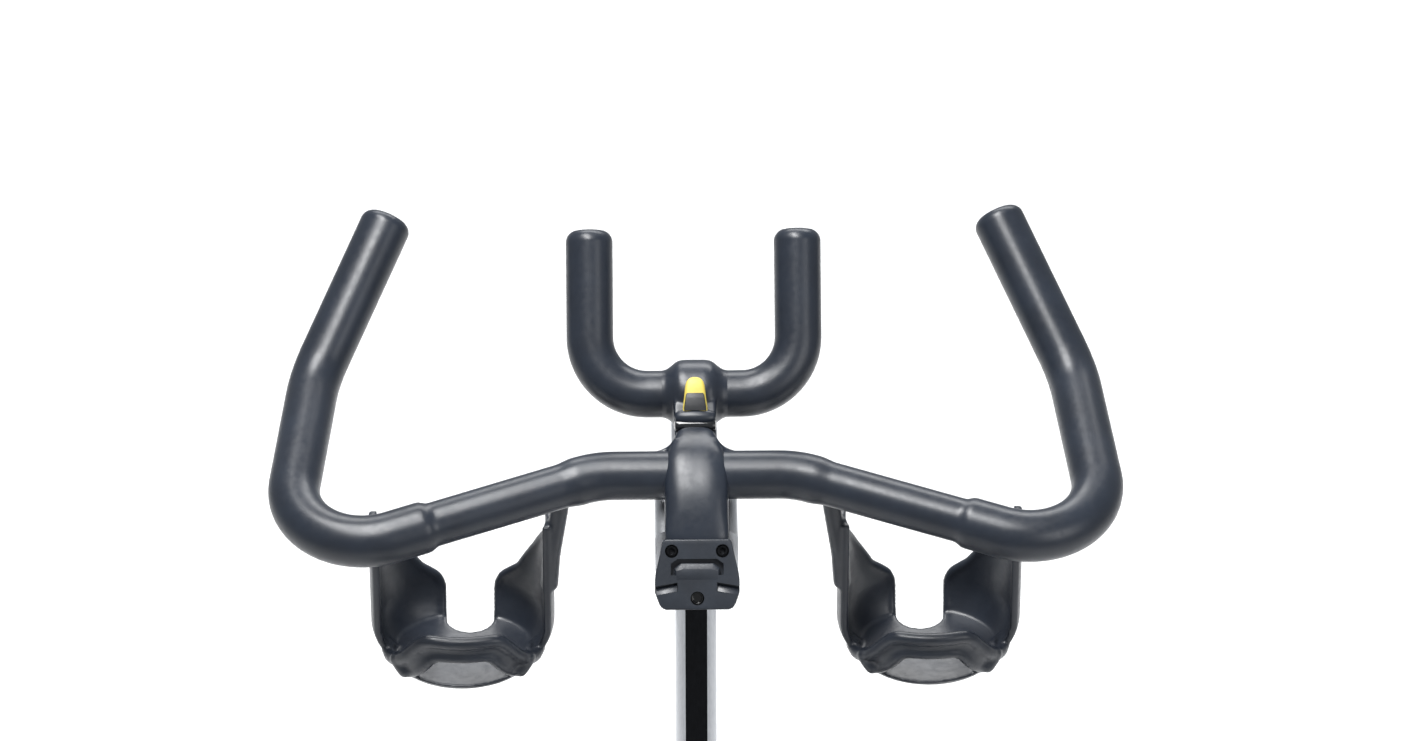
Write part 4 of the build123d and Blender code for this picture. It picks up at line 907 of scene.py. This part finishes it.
for side, label in ((-1, "left"), (1, "right")):
    screw = dock_disc("dock_screw_" + label, side * SCREW[0], SCREW[1], 3.7, -4.2, -1.6)
    boolean(screw, dock_disc("cut", side * SCREW[0], SCREW[1], 1.9, -3.4, 0, 6), "DIFFERENCE")
    screw = bevel(screw, 0.4, 3, 40)
    finish_piece(screw, "handlebar", "black_anodised", 30)
    lining = loft("slot_lining_" + label, [
        [dock_frame @ (Vector((side * u, v, w + lift)) * MM) for u, v, w in (
            (12.8, -28.4, -3.9), (26.4, -31, -3.9), (26.2, -35.7, -0.9), (12.8, -33.3, -0.9)
        )]
        for lift in (0, 0.6)
    ])
    finish_piece(bevel(lining, 0.2, 2, 40), "handlebar", "holder_plastic", 30)


# ---- bottle holders ----
CUP_X = 152
CUP_Y = 20
CUP_FLOOR = -156
CUP_TOP = -46
CUP_HALF = 60
CUP_SHAPE = 0.79
CUP_WALL = 5
BOWL = 30
RIM = 3.1
SLOT_SHIFT = -4


def bowl_drop(z):
    """0 down to where the bowl begins, and 1 at the floor."""
    return max(CUP_FLOOR + BOWL - z, 0) / BOWL


def cup_depth(z, side):
    """The cup's depth as a share of its half width, on its far (1) or near (-1) side."""
    return CUP_SHAPE if side > 0 else CUP_SHAPE + 0.1 * bowl_drop(z)


def cup_half(z):
    """The cup's outer half width, straight above and rounded in towards its floor."""
    return CUP_HALF - 15 * bowl_drop(z) ** 2


def cup_loop(z, inset, sides=96):
    half = cup_half(z) - inset
    loop = []
    for k in range(sides):
        angle = 2 * math.pi * k / sides
        deep = half * cup_depth(z, math.sin(angle)) * math.sin(angle)
        loop.append(on_bar(CUP_X + half * math.cos(angle), CUP_Y + deep, z))
    return loop


def cup_point(x, z, side):
    """A point in the cup's wall at that place and height, on its far (1) or near (-1) side."""
    half = cup_half(z) - CUP_WALL / 2
    x = max(-half, min(half, x))
    return on_bar(CUP_X + x, CUP_Y + side * half * cup_depth(z, side) * math.sqrt(1 - (x / half) ** 2), z)


def rounded_line(corners, radius, step=3):
    """An outline in X and Z with rounded corners."""
    route = rounded_route([Vector((x, z, 0)) for x, z in corners], [radius] * (len(corners) - 2), step)
    return [(point.x, point.y) for point in route]


def prism_y(name, outline, low_y, high_y):
    """A block along the bike, from an outline in X and Z given from the cup's middle."""
    return loft(name, [[on_bar(CUP_X + x, y, z) for x, z in outline] for y in (low_y, high_y)])


def rim_bead(outline, side, radius=RIM):
    """A rolled edge that follows the cup's wall."""
    points = [cup_point(x, z, side) for x, z in outline]
    return loft("bead", tube_loops(points, lambda d: radius * MM, 12, (0.02, 1, 0.01)))


def shifted(points, shift):
    return [(x + shift, z) for x, z in points]


SLOT_HALF = 18.5
FLOOR_CUT = SLOT_HALF - RIM
INNER_WING = [(64, -40), (53, -64), (44, -88), (33, -112), (21.5, -123.5), (SLOT_HALF, -131), (SLOT_HALF, -150)]
OUTER_WING = [(64, -56), (52, -78), (45, -93), (32, -115), (21.5, -125), (SLOT_HALF, -132), (SLOT_HALF, -150)]
inner_edge = shifted([(-x, z) for x, z in rounded_line(INNER_WING, 7)], SLOT_SHIFT)
outer_edge = shifted(rounded_line(OUTER_WING, 7), SLOT_SHIFT)
far_edge = outer_edge + inner_edge[::-1]
NEAR_ARCH = [(-54, -151), (-44, -142), (-24, -114.5), (24, -114.5), (44, -142), (54, -151)]
near_edge = rounded_line(NEAR_ARCH, 10)
LOW_ARCH = [(-36, -151), (-18, -126), (18, -126), (36, -151)]
low_edge = rounded_line(LOW_ARCH, 8)
near_line = CUP_Y - 14
cup = loft("cup", [cup_loop(z, 0) for z in np.linspace(CUP_FLOOR, CUP_TOP, 26)])
hollow_floor = CUP_FLOOR + CUP_WALL
hollow = loft("hollow", [cup_loop(z, CUP_WALL) for z in np.linspace(hollow_floor, CUP_TOP + 5, 26)])
boolean(cup, hollow, "DIFFERENCE")
boolean(cup, prism_y("cut", far_edge + [(-70, 0), (70, 0)], CUP_Y + 8, CUP_Y + 80), "DIFFERENCE")
slot_round = rounded_route(
    [Vector((x, y, 0)) for x, y in ((-FLOOR_CUT, 90), (-FLOOR_CUT, 36), (FLOOR_CUT, 36), (FLOOR_CUT, 90))],
    [FLOOR_CUT - 0.4] * 2,
    2,
)
slot_loops = [[on_bar(CUP_X + SLOT_SHIFT + p.x, p.y, z) for p in slot_round] for z in (-170, -128)]
boolean(cup, loft("cut", slot_loops), "DIFFERENCE")
boolean(cup, prism_y("cut", near_edge + [(70, -100), (70, 0), (-70, 0), (-70, -100)], -60, near_line), "DIFFERENCE")
boolean(cup, prism_y("cut", low_edge, -60, CUP_Y - 24), "DIFFERENCE")


def side_edge(side):
    """The near edge of one side wall, from the top down to the arch's foot."""
    half = cup_half(-90) - CUP_WALL / 2
    across = math.sqrt(1 - ((near_line - CUP_Y) / (half * cup_depth(-90, -1))) ** 2)
    levels = np.linspace(CUP_TOP, -140, 30)
    return [on_bar(CUP_X + side * (cup_half(z) - CUP_WALL / 2) * across, near_line, z) for z in levels]


INNER_STRUT = [(-56.5, 13, -100), (-58.5, 13, -72), (-64, 13, -36), (-67, 13, -6)]
OUTER_ARM = [(55, 10, -62), (54.5, -6, -46), (52, -26, -24)]
FOOT = [(44, -5, -136), (40, -10, -142), (34, -14.5, -148.5)]
RAIL = [(20, 11, 2), (66, 11, 2), (203, -31, -17)]


def strut(points, radii, thickness, relative_x=CUP_X):
    route = rounded_route([on_bar(relative_x + x, y, z) for x, y, z in points], [r * MM for r in radii], 2.5 * MM)
    length = route_length(route)
    route = finer_ends(route, thickness * MM, 0.8 * MM)
    return loft("strut", tube_loops(
        route, lambda d: rounded_end(d, length, thickness * MM, thickness * 0.8 * MM), 20, (0.02, 1, 0.01)
    ))


holder = fused(
    "bottle_holder_smooth_right",
    [
        cup,
        rim_bead([p for p in inner_edge if p[1] < CUP_TOP - 8], 1),
        rim_bead([p for p in outer_edge if p[1] < CUP_TOP - 16], 1),
        rim_bead(near_edge, -1, 4.4),
        rim_bead(low_edge, -1, 3.8),
        loft("bead", tube_loops(side_edge(-1), lambda d: 4.2 * MM, 14)),
        loft("bead", tube_loops(side_edge(1), lambda d: 4.2 * MM, 14)),
        strut(INNER_STRUT, [40, 40], 6),
        strut(OUTER_ARM, [12], 5),
        strut(RAIL, [60], 5.4, 0),
        strut(FOOT, [8], 5.6),
        strut([(-x, y, z) for x, y, z in FOOT], [8], 5.6),
    ],
    1.25,
    7,
)
other_holder = mirrored(holder, "bottle_holder_smooth_left")
for made, node in ((holder, "bottle_holder_right"), (other_holder, "bottle_holder_left")):
    finish_piece(made, "handlebar", "holder_plastic", 70, (node,))


# ---- saddle ----
pad_low, pad_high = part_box("saddle_pad")
PAD_HALF = pad_high.x
PAD_LENGTH = pad_high.y - pad_low.y
PAD_BASE = pad_low.z
PAD_TOP = pad_high.z


def half_width(share):
    """The saddle's half width from its rear edge (0) to its nose (1)."""
    keys = [(0, 0), (0.02, 0.3), (0.07, 0.66), (0.16, 0.94), (0.24, 1), (0.34, 0.92), (0.46, 0.64), (0.6, 0.4),
            (0.75, 0.3), (0.9, 0.245), (0.965, 0.17), (1, 0)]
    for (s0, w0), (s1, w1) in zip(keys, keys[1:]):
        if share <= s1:
            t = (share - s0) / (s1 - s0)
            if s1 == 1 or s0 == 0:
                t = math.sqrt(1 - (1 - t) ** 2) if s0 == 0 else 1 - math.sqrt(max(1 - (1 - t) ** 2, 0))
                return (w0 + (w1 - w0) * t) * PAD_HALF
            return (w0 + (w1 - w0) * (t * t * (3 - 2 * t) * 0.4 + t * 0.6)) * PAD_HALF
    return 0


def pad_height(share, across):
    """How far the pad's top stands over its base. `across` runs from 0 in the middle to 1 at the edge."""
    crown = 0.030 + 0.011 * float(smooth_step(0.55, 0.0, share)) + 0.003 * float(smooth_step(0.7, 1.0, share))
    wings = 0.004 * math.exp(-((share - 0.25) / 0.12) ** 2) * math.sin(math.pi * min(across * 1.3, 1))
    edge = (1 - min(max(across, 0), 1) ** 3.2) ** 0.55
    channel = 0.0065 * math.exp(-((across * half_width(share)) / 0.0085) ** 2)
    channel *= float(smooth_step(0.1, 0.24, share) * smooth_step(0.94, 0.78, share))
    return (crown + wings) * edge + 0.004 - channel


def pad_mesh(name, inset):
    """The pad as a crowned cushion on a flat base."""
    rows = 64
    columns = 32
    points = []
    for i in range(rows + 1):
        share = 0.004 + 0.992 * i / rows
        width = max(half_width(share) - inset, 0.0015)
        y = pad_low.y + inset + (PAD_LENGTH - 2 * inset) * share
        for j in range(columns + 1):
            across = math.sin((j / columns - 0.5) * math.pi)
            points.append(Vector((across * width, y, PAD_BASE + 0.001 + pad_height(share, abs(across)))))
        for j in range(columns + 1):
            across = math.sin((0.5 - j / columns) * math.pi)
            points.append(Vector((across * (width - 0.003) if width > 0.006 else across * width, y, PAD_BASE)))
    ring = 2 * (columns + 1)
    loops = [points[k * ring:(k + 1) * ring] for k in range(rows + 1)]
    return loft(name, loops)


def inflate(obj, cap, frames=14):
    """Lets the pad swell under pressure, and keeps each point within `cap` millimetres of its start."""
    remesh = obj.modifiers.new("remesh", "REMESH")
    remesh.mode = "VOXEL"
    remesh.voxel_size = 0.0045
    evaluated(obj)
    start = np.array([v.co for v in obj.data.vertices])
    group = obj.vertex_groups.new(name="base")
    held = [i for i, p in enumerate(start) if p[2] < PAD_BASE + 0.006]
    group.add(held, 1, "REPLACE")
    cloth = obj.modifiers.new("cloth", "CLOTH")
    cloth.settings.use_pressure = True
    cloth.settings.uniform_pressure_force = 4
    cloth.settings.effector_weights.gravity = 0
    cloth.settings.vertex_group_mass = "base"
    cloth.point_cache.frame_start = 1
    cloth.point_cache.frame_end = frames
    scene = bpy.context.scene
    for frame_number in range(1, frames + 1):
        scene.frame_set(frame_number)
    evaluated(obj)
    scene.frame_set(1)
    end = np.array([v.co for v in obj.data.vertices])
    move = end - start
    length = np.linalg.norm(move, axis=1, keepdims=True)
    move *= np.minimum(1, cap * MM / np.maximum(length, 1e-9))
    obj.data.vertices.foreach_set("co", (start + move).ravel())
    return obj


pad = pad_mesh("saddle_cushion", 0.0025)
inflate(pad, 3)
smooth = pad.modifiers.new("smooth", "SMOOTH")
smooth.iterations = 3
evaluated(pad)
pad = subdivided(pad, 1)


def seam_depth(x, y):
    """Depth in metres of the sewn line that splits the pad's centre panel from its sides."""
    share = (y - pad_low.y) / PAD_LENGTH
    if share < 0.05 or share > 0.96:
        return 0
    line = 0.5 * half_width(share)
    away = abs(abs(x) - line)
    return 0.0014 * math.exp(-(away / 0.0016) ** 2)


for vertex in pad.data.vertices:
    if vertex.co.z > PAD_BASE + 0.012:
        vertex.co.z -= seam_depth(vertex.co.x, vertex.co.y)
    vertex.co.z = min(max(vertex.co.z, PAD_BASE + 0.0003), PAD_TOP + 0.006)
finish_piece(pad, "saddle", "saddle_cover", 60, ("saddle_pad",))


def pad_surface(x, y):
    """The cushion's top at that place."""
    hit, place_hit, normal, _ = pad.ray_cast(Vector((x, y, PAD_TOP + 0.05)), Vector((0, 0, -1)))
    return (place_hit, normal) if hit else (Vector((x, y, PAD_BASE + 0.01)), Vector((0, 0, 1)))


bpy.context.view_layer.update()
STITCH = 0.0048
stitches = []
for side in (-1, 1):
    for offset in (-0.0032, 0.0032):
        share = 0.07
        while share < 0.945:
            ends = []
            for step in (0, 0.62):
                s = share + step * STITCH / PAD_LENGTH
                y = pad_low.y + PAD_LENGTH * s
                spot, normal = pad_surface(side * (0.5 * half_width(s) + offset), y)
                ends.append(spot + normal * 0.00025)
            middle = (ends[0] + ends[1]) / 2 + Vector((0, 0, 0.0003))
            stitches.append(loft("stitch", tube_loops([ends[0], middle, ends[1]], lambda d: 0.00042, 6)))
            share += STITCH / PAD_LENGTH
thread = joined("saddle_stitches", stitches)
finish_piece(thread, "saddle", "saddle_cover", 60, material=STITCHING)

piping_points = []
for side in (1, -1):
    marks = [0.012 + 0.976 * k / 70 for k in range(71)]
    for s in marks if side == 1 else reversed(marks):
        piping_points.append(Vector((side * (half_width(s) + 0.0002), pad_low.y + PAD_LENGTH * s, PAD_BASE + 0.0016)))
piping_loops = tube_loops(piping_points + [piping_points[0]], lambda d: 0.0017, 10)
piping = loft("saddle_piping", piping_loops[:-1], closed=True)
finish_piece(piping, "saddle", "saddle_cover", 60)


# ---- toe straps ----
STRAP_WIDTH = 20
for body in ("pedal_left", "pedal_right"):
    low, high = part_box(body)
    middle_x = (low.x + high.x) / 2
    y_mid = (low.y + high.y) / 2 + 0.012
    route = []
    for k in range(49):
        angle = math.radians(lerp(-14, 194, k / 48))
        spread = max(-1, min(1, 1.06 * math.cos(angle)))
        rise = math.sin(angle)
        route.append(Vector((
            middle_x + spread * ((high.x - low.x) / 2 - 0.001),
            y_mid + 0.012 * max(rise, 0),
            low.z + 0.011 + (0.062 * rise ** 0.75 if rise > 0 else 0.04 * rise),
        )))
    strap = loft("toe_strap_" + body.split("_")[1], band_loops(route, rounded_outline(STRAP_WIDTH, 1.8, 0.8), (0, 1, 0)))
    finish_piece(strap, body, "belt_rubber", 50, material=WEBBING)


# ---- fasteners and trim ----
def socket_screw(name, centre, axis, radius, height):
    """A button-head screw with a round sunk socket."""
    axis = Vector(axis).normalized()
    profile = [(0, 0), (0, radius)]
    for k in range(1, 7):
        angle = math.radians(90 * k / 7)
        profile.append((height * math.sin(angle), radius * (0.55 + 0.45 * math.cos(angle))))
    profile += [(height, radius * 0.5), (height, radius * 0.44), (height * 0.35, radius * 0.42), (height * 0.35, 0)]
    return revolve(name, profile, centre, axis, 24)


def screws(name, body, places, axis, radius, height, slot="bright_steel"):
    made = [socket_screw("screw", place_at, axis, radius * MM, height * MM) for place_at in places]
    finish_piece(joined(name, made), body, slot, 30)


case_low, case_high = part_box("belt_case_outer")
case_side = case_high.x
wheel_centre = Vector(flywheel_centre)
crank_middle = Vector(crank_centre)
rear_radius = crank_middle.y - case_low.y - 0.012
front_radius = case_high.y - wheel_centre.y - 0.011
case_screws = []
for angle in (100, 140, 180, 220, 260):
    turn = math.radians(angle)
    case_screws.append(Vector((case_side, crank_middle.y + rear_radius * math.cos(turn),
                               crank_middle.z + rear_radius * math.sin(turn))))
for angle in (-60, 0, 60):
    turn = math.radians(angle)
    case_screws.append(Vector((case_side, wheel_centre.y + front_radius * math.cos(turn),
                               wheel_centre.z + front_radius * math.sin(turn))))
screws("case_screws", "root", case_screws, (1, 0, 0), 4.2, 2.4)

for side, label in ((-1, "left"), (1, "right")):
    arm_low, arm_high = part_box("crank_arm_" + label)
    outer_x = arm_high.x if side > 0 else arm_low.x
    screws("crank_bolt_" + label, "crank", [Vector((outer_x, crank_middle.y, crank_middle.z))], (side, 0, 0), 9, 3)

for label in ("rear", "front"):
    low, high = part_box(label + "_stabiliser")
    middle_y = low.y + 0.03
    side_bolts = [Vector((side * 0.04, middle_y, high.z)) for side in (-1, 1)]
    screws("stabiliser_bolts_" + label, "root", side_bolts, (0, 0, 1), 6, 3.4)

for body in ("pedal_left", "pedal_right"):
    low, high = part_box(body)
    treads = []
    for row in range(4):
        y = lerp(low.y + 0.012, high.y - 0.012, row / 3)
        for column in range(6):
            x = lerp(low.x + 0.012, high.x - 0.012, column / 5)
            treads.append(revolve(
                "pin", [(0, 0), (0, 0.0021), (0.0016, 0.0019), (0.0021, 0.0013), (0.0021, 0)],
                Vector((x, y, high.z - 0.0002)), (0, 0, 1), 12,
            ))
    finish_piece(joined(body + "_pins", treads), body, "bright_steel", 30)

for name in ("transport_wheel_left", "transport_wheel_right"):
    low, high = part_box(name)
    centre = (low + high) / 2
    side = 1 if centre.x > 0 else -1
    face_x = high.x if side > 0 else low.x
    screws(name + "_cap", name, [Vector((face_x - side * 0.0005, centre.y, centre.z))], (side, 0, 0), 6, 2)


# ---- setting ----
floor_mesh = mesh_object("studio_floor", [(-9, -9, 0), (9, -9, 0), (9, 9, 0), (-9, 9, 0)], [(0, 1, 2, 3)])
floor_mesh.location.z = cad_box[0][2] - 0.0005
floor_mesh.data.materials.append(new_material("floor_pale", (250, 250, 250), 0.9))

world = bpy.data.worlds.new("studio")
world.use_nodes = True
world.node_tree.nodes["Background"].inputs["Color"].default_value = (0.93, 0.965, 1, 1)
world.node_tree.nodes["Background"].inputs["Strength"].default_value = 0.36
bpy.context.scene.world = world


def area_light(name, place_at, target, size, power):
    data = bpy.data.lights.new(name, "AREA")
    data.shape = "RECTANGLE"
    data.size, data.size_y = size
    data.energy = power
    light = bpy.data.objects.new(name, data)
    light.location = place_at
    light.rotation_euler = (Vector(target) - Vector(place_at)).to_track_quat("-Z", "Y").to_euler()
    bpy.context.scene.collection.objects.link(light)


area_light("key", (-0.5, 0.2, 3.6), BAR, (2.2, 1.0), 135)
area_light("fill", (1.9, -1.6, 2.3), BAR, (1.6, 1.6), 22)
area_light("back", (0.3, 2.6, 2.6), BAR, (2.4, 1.0), 45)

CAMERA_RISE = math.radians(35)
CAMERA_TURN = math.radians(-0.8)
CAMERA_DISTANCE = 4.5
camera_back = Vector((
    math.sin(CAMERA_TURN) * math.cos(CAMERA_RISE),
    -math.cos(CAMERA_TURN) * math.cos(CAMERA_RISE),
    math.sin(CAMERA_RISE),
))
camera_data = bpy.data.cameras.new("camera")
camera_data.lens = 180
camera_data.clip_end = 60
camera = bpy.data.objects.new("camera", camera_data)
aim = on_bar(4.7, 67 * math.sin(CAMERA_RISE), 67 * math.cos(CAMERA_RISE))
camera.location = aim + camera_back * CAMERA_DISTANCE
camera.rotation_euler = (-camera_back).to_track_quat("-Z", "Y").to_euler()
bpy.context.scene.collection.objects.link(camera)
bpy.context.scene.camera = camera
bpy.context.scene.view_settings.view_transform = "Standard"
